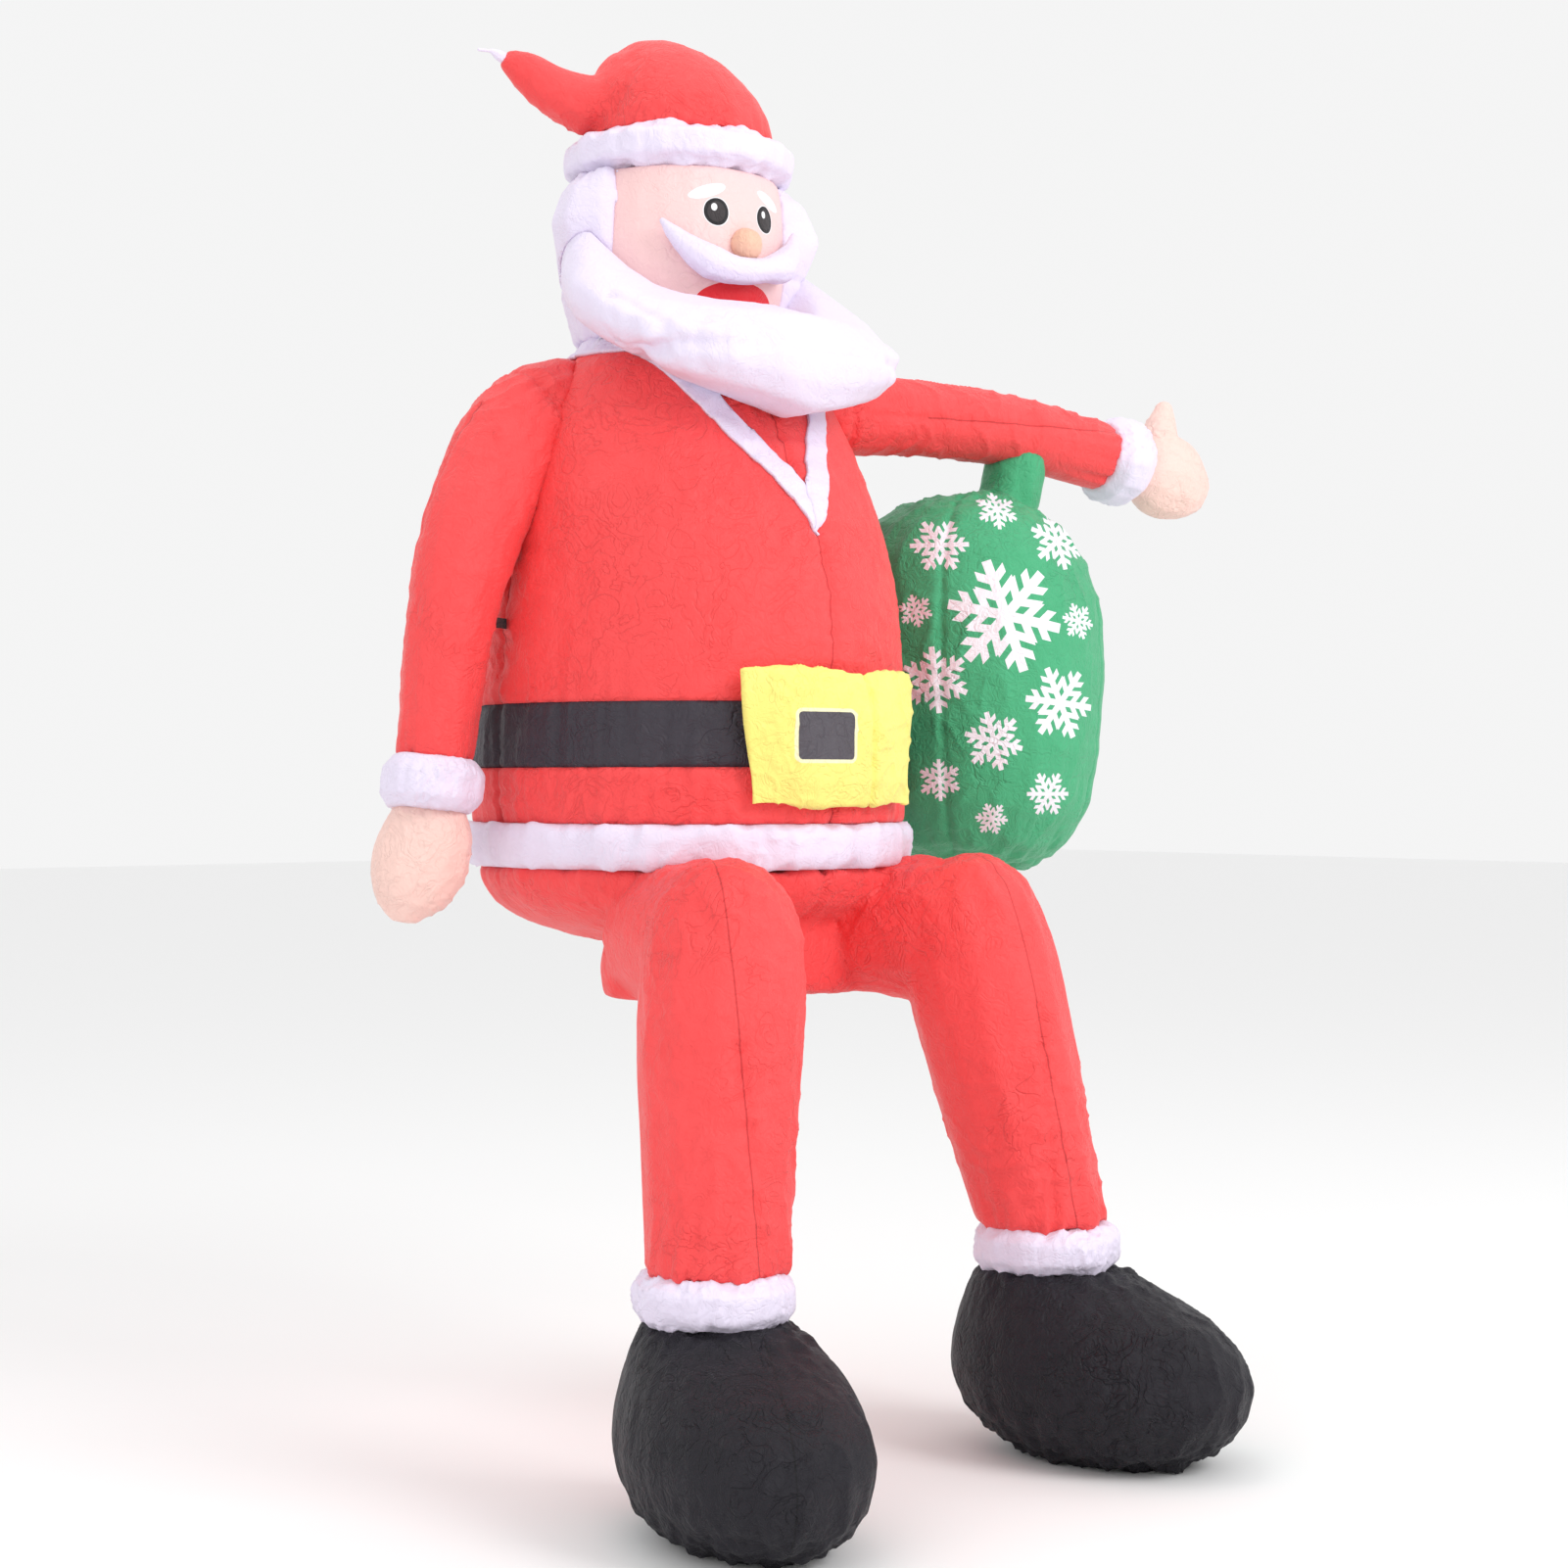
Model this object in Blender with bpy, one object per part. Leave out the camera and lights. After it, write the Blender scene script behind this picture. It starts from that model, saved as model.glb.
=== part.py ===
# Inflatable Santa, sitting on an edge with his lower legs hanging and one arm over a sack.
#
# Metres, +Z up. He faces -Y, so his right hand is at -X. The origin is the middle of the flat
# underside of his seat. His free form is given in shares of his height, very nearly per cent of
# it, measured from the soles up and from the torso's axis outwards. Fits, seams and webbing are
# in metres.

import math

import bpy
import bmesh
from mathutils import Matrix, Vector

# Driving dimensions, metres
FIGURE_HEIGHT = 2.44
SEAM_GAP = 0.0003
COLLAR_THICKNESS = 0.004
STRAP_WIDTH = 0.020
STRAP_THICKNESS = 0.002
TIP_CORD_RADIUS = 0.003

# Heights of the sewn pieces, from the soles up, in shares
BOOT_HEIGHT = 12.6
LEG_CUFF_WIDTH = 3.0
SEAT_HEIGHT = 31.6
BOWL_LIFT = 3.0
BOWL_DEPTH = 5.6
HEM_WIDTH = 3.1
SKIRT_WIDTH = 3.8
BELT_WIDTH = 4.4
COAT_RISE = 26.1
HEAD_HEIGHT = 11.6
HAT_BAND_WIDTH = 3.0
CROWN_RISE = 7.2

# Widths and places, in shares
TORSO_SETBACK = 6.6
BELLY_HALF_WIDTH = 15.0
BELLY_HALF_DEPTH = 16.1
HEM_SWELL = 0.45
COLLAR_DROP = 14.8
COLLAR_HALF_WIDTH = 7.4
COLLAR_RISE = 11.9
COLLAR_WIDTH = 1.75
HEAD_BACK = 1.15
HEAD_RADIUS = 7.6
BAND_RADIUS = 8.3
CROWN_RADIUS = 6.75
NOSE_RADIUS = 1.2
NOSE_RISE = 6.2
BUCKLE_WIDTH = 15.0
BUCKLE_HEIGHT = 9.2
BUCKLE_DEPTH = 1.9
BUCKLE_BEND = 1.6
CUFF_RADIUS = 3.4
CUFF_WIDTH = 3.4
LEG_CUFF_RADIUS = 5.05
SEAT_HALF_WIDTH = 11.8
SEAT_HALF_DEPTH = 5.8
BOOT_TURN_OUT = math.radians(15)
SACK_RADIUS = 10.15
SACK_NECK_RADIUS = 2.25

# How finely the round forms are divided
TORSO_RING_SPACING = 2.6
ROUND_SIDES = 24
LIMB_SIDES = 12

# Seam heights above the soles, in shares
LEG_CUFF_TOP = BOOT_HEIGHT + LEG_CUFF_WIDTH
BOWL_BOTTOM = SEAT_HEIGHT + BOWL_LIFT
HEM_BOTTOM = BOWL_BOTTOM + BOWL_DEPTH
HEM_TOP = HEM_BOTTOM + HEM_WIDTH
BELT_BOTTOM = HEM_TOP + SKIRT_WIDTH
BELT_TOP = BELT_BOTTOM + BELT_WIDTH
NECK_SEAM = BELT_TOP + COAT_RISE
HAT_BAND_BOTTOM = NECK_SEAM + HEAD_HEIGHT
HAT_BAND_TOP = HAT_BAND_BOTTOM + HAT_BAND_WIDTH
CROWN_TOP = HAT_BAND_TOP + CROWN_RISE
SHARE = FIGURE_HEIGHT / CROWN_TOP

# The torso from the bowl's bottom to the neck: share of its height, of the belly's half-width and
# of the belly's half-depth
TORSO_OUTLINE = (
    (0, 0.20, 0.20),
    (0.01, 0.43, 0.42),
    (0.05, 0.79, 0.79),
    (0.10, 0.95, 0.94),
    (0.17, 0.99, 0.98),
    (0.27, 1.0, 1.0),
    (0.36, 0.99, 1.0),
    (0.45, 0.98, 0.99),
    (0.56, 0.95, 0.975),
    (0.65, 0.92, 0.91),
    (0.75, 0.885, 0.77),
    (0.85, 0.825, 0.60),
    (0.93, 0.69, 0.51),
    (1, 0.465, 0.435),
)

# The head: share of its height, share of its radius
HEAD_OUTLINE = ((0, 0.86), (0.15, 0.93), (0.35, 0.99), (0.6, 1.0), (0.85, 0.985), (1, 0.95))

# The beard's sections round the face: angle from the front in degrees, its upper and lower edge
# above the neck seam, its reach beyond the head
BEARD_OUTLINE = (
    (0, 0.5, -6.5, 9.4),
    (25, 0.5, -4.9, 9.0),
    (50, 1.7, -2.7, 8.0),
    (72, 4.7, 0.3, 5.4),
    (92, 6.6, 2.7, 2.4),
    (112, 6.7, 3.9, 1.1),
    (130, 5.8, 4.1, 0.5),
)

# The hair's reach beyond the head, by the angle from the front in degrees: it starts under
# the face's edge, swells into a puffed sideburn and is thin over the back of the head
HAIR_RIGHT_OUTLINE = ((0, -1.6), (66, -1.1), (80, 1.4), (94, 2.7), (112, 1.6), (132, 0.75), (180, 0.75))
HAIR_LEFT_OUTLINE = ((0, -1.6), (46, -1.1), (60, 2.6), (82, 2.7), (108, 1.6), (132, 0.75), (180, 0.75))

# The hair upwards: share of the head's height, share of the sideburn's swell, share of its reach
HAIR_RISE = ((0, 0, 0.9), (0.2, 0, 0.97), (0.48, 0.55, 1), (0.7, 1, 1), (0.9, 0.55, 0.99), (1, 0, 0.94))

# Half of the moustache from its tip: angle from the front in degrees, height above the neck seam, radius
MOUSTACHE_OUTLINE = ((46, 7.4, 0.15), (36, 5.8, 0.75), (22, 4.4, 1.2), (8, 3.9, 1.0))
MOUSTACHE_STAND_OFF = 0.8

# Limbs: points along the middle, and the radius at each
RIGHT_ARM = (
    (-7.0, 1.6, NECK_SEAM - 4.6),
    (-10.9, 2.0, NECK_SEAM - 5.6),
    (-14.1, 2.1, NECK_SEAM - 8.6),
    (-17.0, 2.1, NECK_SEAM - 14.0),
    (-18.9, 2.1, NECK_SEAM - 20.6),
    (-20.1, 2.1, NECK_SEAM - 29.9),
)
RIGHT_ARM_RADII = (3.0, 3.5, 3.75, 3.4, 2.95, 2.5)
LEFT_ARM = (
    (7.0, -1.6, NECK_SEAM - 4.2),
    (12.0, -2.4, NECK_SEAM - 4.2),
    (20.0, -3.6, NECK_SEAM - 3.9),
    (28.0, -4.8, NECK_SEAM - 4.2),
    (36.6, -6.2, NECK_SEAM - 5.7),
)
LEFT_ARM_RADII = (2.9, 2.85, 2.75, 2.65, 2.55)
LEFT_THIGH = (
    (7.8, -8.0, SEAT_HEIGHT + 4.1),
    (9.4, -13.0, SEAT_HEIGHT + 4.2),
    (10.9, -17.5, SEAT_HEIGHT + 4.2),
)
THIGH_RADII = (4.9, 5.0, 4.9)
LEFT_SHIN = (
    (11.1, -17.9, SEAT_HEIGHT + 4.4),
    (11.9, -18.8, SEAT_HEIGHT - 0.6),
    (13.3, -20.2, LEG_CUFF_TOP + 6.9),
    (14.8, -21.8, LEG_CUFF_TOP - 1.4),
)
SHIN_RADII = (5.1, 5.3, 4.8, 4.3)
LEFT_ANKLE = (14.7, -21.65)
HAT_TAIL = (
    (-2.6, 2.2, HAT_BAND_TOP + 1.8),
    (-6.0, 3.6, HAT_BAND_TOP + 2.3),
    (-8.6, 4.8, HAT_BAND_TOP + 3.4),
    (-10.3, 5.6, HAT_BAND_TOP + 4.6),
    (-11.7, 6.1, HAT_BAND_TOP + 5.3),
)
HAT_TAIL_RADII = (2.9, 2.3, 1.65, 1.25, 0.62)
HAT_TIP_WAY = (-2.0, 0.8, 0.1)
CROWN_LEAN = (-1.6, 0.9)

# A hand: way along it, radius, drift to one side
RIGHT_HAND = (
    (0, 2.35, 0),
    (1.4, 3.0, 0),
    (3.4, 3.25, -0.3),
    (5.2, 2.85, -0.7),
    (6.7, 2.05, -1.0),
    (7.6, 0.9, -1.1),
)
LEFT_HAND = (
    (0, 2.3, 0),
    (1.4, 3.1, 0.1),
    (3.2, 3.4, 0),
    (5.0, 3.0, -0.1),
    (6.4, 2.0, -0.1),
    (7.2, 0.85, -0.1),
)

# A boot's level sections: share of its height, way ahead of the ankle, half-width, half-length
BOOT_OUTLINE = (
    (0, 4.6, 2.9, 4.2),
    (0.04, 4.6, 4.4, 6.3),
    (0.13, 4.5, 5.9, 8.5),
    (0.27, 4.3, 7.0, 10.2),
    (0.44, 4.1, 7.45, 10.9),
    (0.60, 3.7, 7.2, 10.3),
    (0.75, 2.9, 6.5, 9.0),
    (0.87, 1.7, 5.6, 7.2),
    (0.97, 0.5, 4.8, 5.3),
    (1, 0.1, 4.3, 4.4),
)

# The sack: height above the hem's lower edge, share of its radius, lean towards him
SACK_AXIS = (24.35, -4.1)
SACK_OUTLINE = (
    (-0.6, 0.29, 0),
    (-0.1, 0.48, 0),
    (1.4, 0.70, 0),
    (4.3, 0.87, 0),
    (8.3, 0.95, 0),
    (13.8, 1.0, 0),
    (18.8, 0.99, 0.2),
    (22.8, 0.88, 0.5),
    (25.4, 0.71, 0.6),
    (27.1, 0.47, 0.6),
    (27.8, 0.29, 0.6),
)
SACK_NECK = (
    (27.2, -4.4, HEM_BOTTOM + 25.4),
    (28.2, -4.6, HEM_BOTTOM + 28.4),
    (28.8, -4.8, NECK_SEAM - 5.3),
)

RED = (0.86, 0.045, 0.045)
WHITE = (0.83, 0.78, 0.84)
SKIN = (0.93, 0.60, 0.50)
NOSE_SKIN = (0.88, 0.50, 0.36)
GREEN = (0.05, 0.36, 0.13)
BLACK = (0.022, 0.020, 0.026)
YELLOW = (0.93, 0.84, 0.23)

def clear_scene():
    for old in list(bpy.data.objects):
        bpy.data.objects.remove(old, do_unlink=True)

def new_collection(name):
    made = bpy.data.collections.new(name)
    bpy.context.scene.collection.children.link(made)
    return made

def cloth(name, colour, roughness=0.55):
    made = bpy.data.materials.new(name)
    made.use_nodes = True
    shader = made.node_tree.nodes["Principled BSDF"]
    shader.inputs["Base Color"].default_value = (*colour, 1)
    shader.inputs["Roughness"].default_value = roughness
    shader.inputs["Metallic"].default_value = 0
    return made

def piece(name, mesh, colour):
    """A visible sub-part with a cloth of its own."""
    made = bpy.data.objects.new(name, mesh)
    mesh.materials.clear()
    mesh.materials.append(cloth(name + "_cloth", colour))
    mesh.shade_smooth()
    mesh.set_sharp_from_angle(angle=math.radians(50))
    santa.objects.link(made)
    made.parent = figure
    return made

def cutter(name, mesh):
    """A helper solid for a Boolean, left out of the model."""
    made = bpy.data.objects.new(name, mesh)
    cutters.objects.link(made)
    made.parent = figure
    made.hide_render = True
    made.display_type = "WIRE"
    return made

def boolean(target, tool, operation="DIFFERENCE"):
    step = target.modifiers.new(operation.title() + " " + tool.name, "BOOLEAN")
    step.operation = operation
    step.solver = "EXACT"
    step.object = tool

def hermite(stations, at):
    """The smooth curve through stations, tuples that start with the place along it."""
    last = len(stations) - 1
    low = max(i for i in range(last) if i == 0 or stations[i][0] <= at)
    high = low + 1
    span = stations[high][0] - stations[low][0]
    t = min(max((at - stations[low][0]) / span, 0), 1)

    def slope(i, column):
        before, after = max(i - 1, 0), min(i + 1, last)
        run = stations[after][0] - stations[before][0]
        return (stations[after][column] - stations[before][column]) / run

    values = []
    for column in range(1, len(stations[0])):
        start, end = stations[low][column], stations[high][column]
        lean_in = slope(low, column) * span
        lean_out = slope(high, column) * span
        values.append(
            (2 * t**3 - 3 * t**2 + 1) * start
            + (t**3 - 2 * t**2 + t) * lean_in
            + (3 * t**2 - 2 * t**3) * end
            + (t**3 - t**2) * lean_out
        )
    return values

def eased(values, steps):
    """Values eased between the given ones, steps to each span."""
    stations = [(i * steps, value) for i, value in enumerate(values)]
    return [hermite(stations, i)[0] for i in range((len(values) - 1) * steps + 1)]

def smooth_path(points, steps):
    """Points of a Catmull-Rom curve through the given ones, steps to each span."""
    ends = [points[0] * 2 - points[1], *points, points[-1] * 2 - points[-2]]
    made = []
    for a, b, c, d in zip(ends, ends[1:], ends[2:], ends[3:]):
        for i in range(steps):
            t = i / steps
            bend = (2 * a - 5 * b + 4 * c - d) * t**2 + (3 * b - a - 3 * c + d) * t**3
            made.append(0.5 * (2 * b + (c - a) * t + bend))
    made.append(points[-1].copy())
    return made

def place(x, y, height):
    """A point given in shares."""
    return Vector((x, y, height)) * SHARE

def mesh_of(made, name):
    mesh = bpy.data.meshes.new(name)
    made.to_mesh(mesh)
    made.free()
    return mesh

def lofted(name, rings):
    """A closed solid through rings of as many points each."""
    made = bmesh.new()
    loops = [[made.verts.new(point) for point in ring] for ring in rings]
    count = len(loops[0])
    for lower, upper in zip(loops, loops[1:]):
        for i in range(count):
            after = (i + 1) % count
            made.faces.new((lower[i], lower[after], upper[after]))
            made.faces.new((lower[i], upper[after], upper[i]))
    made.faces.new(list(reversed(loops[0])))
    made.faces.new(loops[-1])
    bmesh.ops.recalc_face_normals(made, faces=made.faces)
    return mesh_of(made, name)

def ellipse(centre, half_x, half_y, count, turn=0.0):
    """A level ring, its long way turned about the vertical by turn radians."""
    ring = []
    for i in range(count):
        angle = 2 * math.pi * i / count
        flat = Vector((half_x * math.cos(angle), half_y * math.sin(angle), 0))
        flat.rotate(Matrix.Rotation(turn, 3, "Z"))
        ring.append(centre + flat)
    return ring

def stack(name, stations, centre=(0, 0), grow=0.0):
    """A solid of level ellipses: stations are height, half-width, half-depth, in metres."""
    rings = [
        ellipse(Vector((centre[0], centre[1], height)), half_x + grow, half_y + grow, ROUND_SIDES)
        for height, half_x, half_y in stations
    ]
    return lofted(name, rings)

def stretched(stations, by):
    """Level stations carried on straight past both ends, or pulled in where by is negative."""
    stations = [list(station) for station in stations]
    if by > 0:
        stations = [stations[0][:], *stations, stations[-1][:]]
    stations[0][0] -= by
    stations[-1][0] += by
    return stations

def tube(name, path, radii, sides=LIMB_SIDES):
    """A round tube along a path, with flat closed ends."""
    curve = bpy.data.curves.new(name, "CURVE")
    curve.dimensions = "3D"
    curve.bevel_depth = 1.0
    curve.bevel_resolution = (sides - 4) // 2
    curve.use_fill_caps = True
    spline = curve.splines.new("POLY")
    spline.points.add(len(path) - 1)
    for point, place_on, radius in zip(spline.points, path, radii):
        point.co = (*place_on, 1)
        point.radius = radius
    guide = bpy.data.objects.new(name + "_guide", curve)
    cutters.objects.link(guide)
    mesh = bpy.data.meshes.new_from_object(guide.evaluated_get(bpy.context.evaluated_depsgraph_get()))
    bpy.data.objects.remove(guide, do_unlink=True)
    made = bmesh.new()
    made.from_mesh(mesh)
    bmesh.ops.remove_doubles(made, verts=made.verts, dist=0.00005)
    bmesh.ops.triangulate(made, faces=made.faces, quad_method="FIXED")
    bmesh.ops.recalc_face_normals(made, faces=made.faces)
    made.to_mesh(mesh)
    made.free()
    return mesh

def dome(tip, before, radius, steps=3):
    """The points and radii that round off the end of a tube."""
    out = (tip - before).normalized()
    angles = [math.radians(84) * i / steps for i in range(1, steps + 1)]
    return [tip + out * radius * math.sin(a) for a in angles], [radius * math.cos(a) for a in angles]

def limb(name, points, radii, sides=LIMB_SIDES, round_start=False, round_end=False):
    """A tube through a few points, in shares, its radii eased between them."""
    steps = 3
    path = smooth_path([place(*point) for point in points], steps)
    sizes = [radius * SHARE for radius in eased(radii, steps)]
    if round_end:
        more, less = dome(path[-1], path[-2], sizes[-1])
        path, sizes = path + more, sizes + less
    if round_start:
        more, less = dome(path[0], path[1], sizes[0])
        path, sizes = more[::-1] + path, less[::-1] + sizes
    return tube(name, path, sizes, sides)

def limb_end(points):
    """Where a limb ends and the way it points there."""
    path = smooth_path([place(*point) for point in points], 3)
    return path[-1], (path[-1] - path[-2]).normalized()

def grown(radii):
    """Radii, in shares, with the seam's gap added."""
    return [radius + SEAM_GAP / SHARE for radius in radii]

def puffed_ring(name, centre, along, radius, width, squeeze=0.8, count=20, steps=4):
    """A puffed disc across a limb: its flat ends are squeeze of its widest radius."""
    turn = Vector((0, 0, 1)).rotation_difference(along.normalized()).to_matrix()
    rings = []
    for i in range(steps + 1):
        share = 2 * i / steps - 1
        size = radius * (squeeze + (1 - squeeze) * math.sqrt(max(0, 1 - share**4)))
        flat = ellipse(Vector((0, 0, share * width / 2)), size, size, count)
        rings.append([centre + turn @ point for point in flat])
    return lofted(name, rings)

def flattened(mesh, centre, along, share):
    """The mesh squeezed about a plane through centre, to share of its thickness along a direction."""
    mesh.transform(Matrix.Translation(-centre))
    mesh.transform(Matrix.Scale(share, 4, along))
    mesh.transform(Matrix.Translation(centre))
    return mesh

def block(name, low, high):
    """A box between two corners, in metres."""
    made = bmesh.new()
    bmesh.ops.create_cube(made, size=1)
    bmesh.ops.scale(made, vec=high - low, verts=made.verts)
    bmesh.ops.translate(made, vec=(low + high) / 2, verts=made.verts)
    return mesh_of(made, name)

def seam_above(height):
    return height * SHARE + SEAM_GAP / 2

def seam_below(height):
    return height * SHARE - SEAM_GAP / 2

# Torso, cut into its cloths by level seams

def torso_size(height):
    """Half-width and half-depth of the torso at a height, all in shares."""
    along = (height - BOWL_BOTTOM) / (NECK_SEAM - BOWL_BOTTOM)
    width, depth = hermite(TORSO_OUTLINE, along)
    return BELLY_HALF_WIDTH * width, BELLY_HALF_DEPTH * depth

def torso_station(height, swell=0.0):
    half_x, half_y = torso_size(height)
    return height * SHARE, (half_x + swell) * SHARE, (half_y + swell) * SHARE

def torso_slice(name, bottom, top, grow=0.0, stretch=0.0):
    """The torso between two heights above the hem, on the same rings for slices and cutters."""
    seams = (HEM_TOP, BELT_BOTTOM, BELT_TOP, NECK_SEAM)
    heights = []
    for low, high in zip(seams, seams[1:]):
        steps = max(2, round((high - low) / TORSO_RING_SPACING))
        heights += [low + (high - low) * i / steps for i in range(steps)]
    heights.append(NECK_SEAM)
    near = 0.01
    stations = [torso_station(height) for height in heights if bottom - near < height < top + near]
    return stack(name, stretched(stations, stretch), grow=grow)

def coat():
    pull_in = -SEAM_GAP / 2
    piece("coat_body", torso_slice("coat_body", BELT_TOP, NECK_SEAM, stretch=pull_in), RED)
    piece("belt", torso_slice("belt", BELT_BOTTOM, BELT_TOP, stretch=pull_in), BLACK)
    piece("coat_skirt", torso_slice("coat_skirt", HEM_TOP, BELT_BOTTOM, stretch=pull_in), RED)

def hem_stations():
    steps = 5
    stations = []
    for i in range(steps + 1):
        share = i / steps
        swell = HEM_SWELL * (0.25 + 0.75 * math.sqrt(max(0, 1 - (2 * share - 1) ** 4)))
        stations.append(torso_station(HEM_BOTTOM + HEM_WIDTH * share, swell))
    return stations

def coat_hem():
    piece("coat_hem", stack("coat_hem", stretched(hem_stations(), -SEAM_GAP / 2)), WHITE)

def collar_prism():
    """The collar's outline seen from the front, drawn out forwards from behind the torso's axis."""
    tip = NECK_SEAM - COLLAR_DROP
    side = tip + COLLAR_RISE
    ring = NECK_SEAM - COLLAR_WIDTH
    top = NECK_SEAM + COLLAR_WIDTH
    inner = COLLAR_HALF_WIDTH - COLLAR_WIDTH
    lift = COLLAR_WIDTH * COLLAR_RISE / COLLAR_HALF_WIDTH
    left = ((COLLAR_HALF_WIDTH, side), (COLLAR_HALF_WIDTH, ring), (BELLY_HALF_WIDTH, ring))
    left += ((BELLY_HALF_WIDTH, top), (inner, top), (inner, side))
    right = tuple((-x, height) for x, height in left[::-1])
    outline = ((0, tip), *left, (0, tip + lift), *right)
    made = bmesh.new()
    face = made.faces.new([made.verts.new(place(x, HEAD_BACK, height)) for x, height in outline])
    drawn = bmesh.ops.extrude_face_region(made, geom=[face])
    far = [item for item in drawn["geom"] if isinstance(item, bmesh.types.BMVert)]
    bmesh.ops.translate(made, vec=place(0, -2 * BELLY_HALF_DEPTH, 0), verts=far)
    bmesh.ops.recalc_face_normals(made, faces=made.faces)
    return mesh_of(made, "collar_strip")

def collar():
    """The strip down both sides of the V and round the front of the neck, lying on the coat."""
    low = NECK_SEAM - COLLAR_DROP - 4
    outside = torso_slice("collar", low, NECK_SEAM, SEAM_GAP + COLLAR_THICKNESS, -SEAM_GAP / 2)
    made = piece("collar", outside, WHITE)
    inside = torso_slice("collar_inside", low - 4, NECK_SEAM, SEAM_GAP, SEAM_GAP)
    boolean(made, cutter("collar_inside", inside))
    boolean(made, cutter("collar_strip", collar_prism()), "INTERSECT")
    boolean(made, cutter("left_sleeve_room", limb("left_sleeve_room", LEFT_ARM, grown(LEFT_ARM_RADII))))

def buckle():
    """A padded panel on the belt, a little off the belly at its sides."""
    middle = (BELT_BOTTOM + BELT_TOP) / 2
    front = -torso_size(middle)[1]
    made = bmesh.new()
    bmesh.ops.create_grid(made, x_segments=8, y_segments=6, size=0.5)
    back = bmesh.ops.duplicate(made, geom=made.faces[:])
    is_back = {item for item in back["geom"] if isinstance(item, bmesh.types.BMVert)}
    for vert in made.verts:
        across, up = 2 * vert.co.x, 2 * vert.co.y
        puff = (1 - across**4) * (1 - up**4)
        depth = (0.25 + 0.75 * puff) * BUCKLE_DEPTH / 2
        away = BUCKLE_BEND * across**2 - 0.42 * BUCKLE_DEPTH + (depth if vert in is_back else -depth)
        height = middle - 0.2 + up / 2 * BUCKLE_HEIGHT
        vert.co = place(across / 2 * BUCKLE_WIDTH, front + away, height)
    bmesh.ops.bridge_loops(made, edges=[edge for edge in made.edges if edge.is_boundary])
    bmesh.ops.recalc_face_normals(made, faces=made.faces)
    made = piece("buckle", mesh_of(made, "buckle"), YELLOW)
    boolean(made, torso_cutter)

# Head

def head_centre():
    return (0, HEAD_BACK * SHARE)

def head_point(degrees, reach, height):
    """A point round the head's axis, by its angle from the front towards his left."""
    turn = math.radians(degrees)
    return place(reach * math.sin(turn), HEAD_BACK - reach * math.cos(turn), height)

def head_stations():
    low, high = seam_above(NECK_SEAM), seam_below(HAT_BAND_BOTTOM)
    stations = []
    for share, size in HEAD_OUTLINE:
        radius = HEAD_RADIUS * size * SHARE
        stations.append((low + (high - low) * share, radius, radius))
    return stations

def head():
    piece("head", stack("head", head_stations(), centre=head_centre()), SKIN)

def hair():
    low, high = seam_above(NECK_SEAM), seam_below(HAT_BAND_BOTTOM)
    count = 28
    thin = HEAD_RADIUS + HAIR_LEFT_OUTLINE[-1][1]
    rings = []
    for share, swell, size in HAIR_RISE:
        ring = []
        for i in range(count):
            turn = 360 * i / count
            outline = HAIR_LEFT_OUTLINE if turn < 180 else HAIR_RIGHT_OUTLINE
            (beyond,) = hermite(outline, min(turn, 360 - turn))
            reach = HEAD_RADIUS + beyond
            plain = min(reach, thin)
            point = head_point(turn, (plain + (reach - plain) * swell) * size, 0)
            point.z = low + (high - low) * share
            ring.append(point)
        rings.append(ring)
    made = piece("hair", lofted("hair", rings), WHITE)
    boolean(made, head_cutter)
    boolean(made, beard_cutter)

def beard_section(top, bottom, reach):
    """A puffed section as points of reach and height, from the face's edge round to the chest."""
    tall = top - bottom
    deep = reach - HEAD_RADIUS
    return (
        (0.8 * HEAD_RADIUS, top - 0.6),
        (HEAD_RADIUS + 0.30 * deep, top + 1.2),
        (HEAD_RADIUS + 0.75 * deep, top - 0.04 * tall),
        (reach, top - 0.45 * tall),
        (reach - 0.02 * tall, bottom + 0.27 * tall),
        (HEAD_RADIUS + 0.86 * deep, bottom + 0.03 * tall),
        (HEAD_RADIUS + 0.45 * deep, bottom + 0.02 * tall),
        (0.7 * HEAD_RADIUS, bottom + 0.3 * tall),
    )

def beard_mesh(name, grow=0.0):
    """Rings across the beard from his right ear to his left."""
    steps = 22
    widest = BEARD_OUTLINE[-1][0]
    rings = []
    for i in range(steps + 1):
        angle = widest * (2 * i / steps - 1)
        top, bottom, beyond = hermite(BEARD_OUTLINE, abs(angle))
        outline = beard_section(NECK_SEAM + top, NECK_SEAM + bottom, HEAD_RADIUS + beyond)
        middle = sum((Vector(point) for point in outline), Vector((0, 0))) / len(outline)
        ring = []
        for point in outline:
            out, up = Vector(point) + (Vector(point) - middle).normalized() * grow / SHARE
            ring.append(head_point(angle, out, up))
        rings.append(ring)
    return lofted(name, rings)

def beard():
    made = piece("beard", beard_mesh("beard"), WHITE)
    boolean(made, head_cutter)
    boolean(made, collar_cutter)

def moustache():
    """A crescent under the nose, thick beside the middle and drawn out to two raised points."""
    left = list(MOUSTACHE_OUTLINE)
    stations = [(-angle, rise, radius) for angle, rise, radius in left] + left[::-1]
    reach = HEAD_RADIUS + MOUSTACHE_STAND_OFF
    steps = 2
    path = smooth_path([head_point(angle, reach, NECK_SEAM + rise) for angle, rise, _ in stations], steps)
    radii = [radius * SHARE for radius in eased([radius for _, _, radius in stations], steps)]
    made = piece("moustache", tube("moustache", path, radii, 10), WHITE)
    boolean(made, head_cutter)
    boolean(made, beard_cutter)

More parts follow.
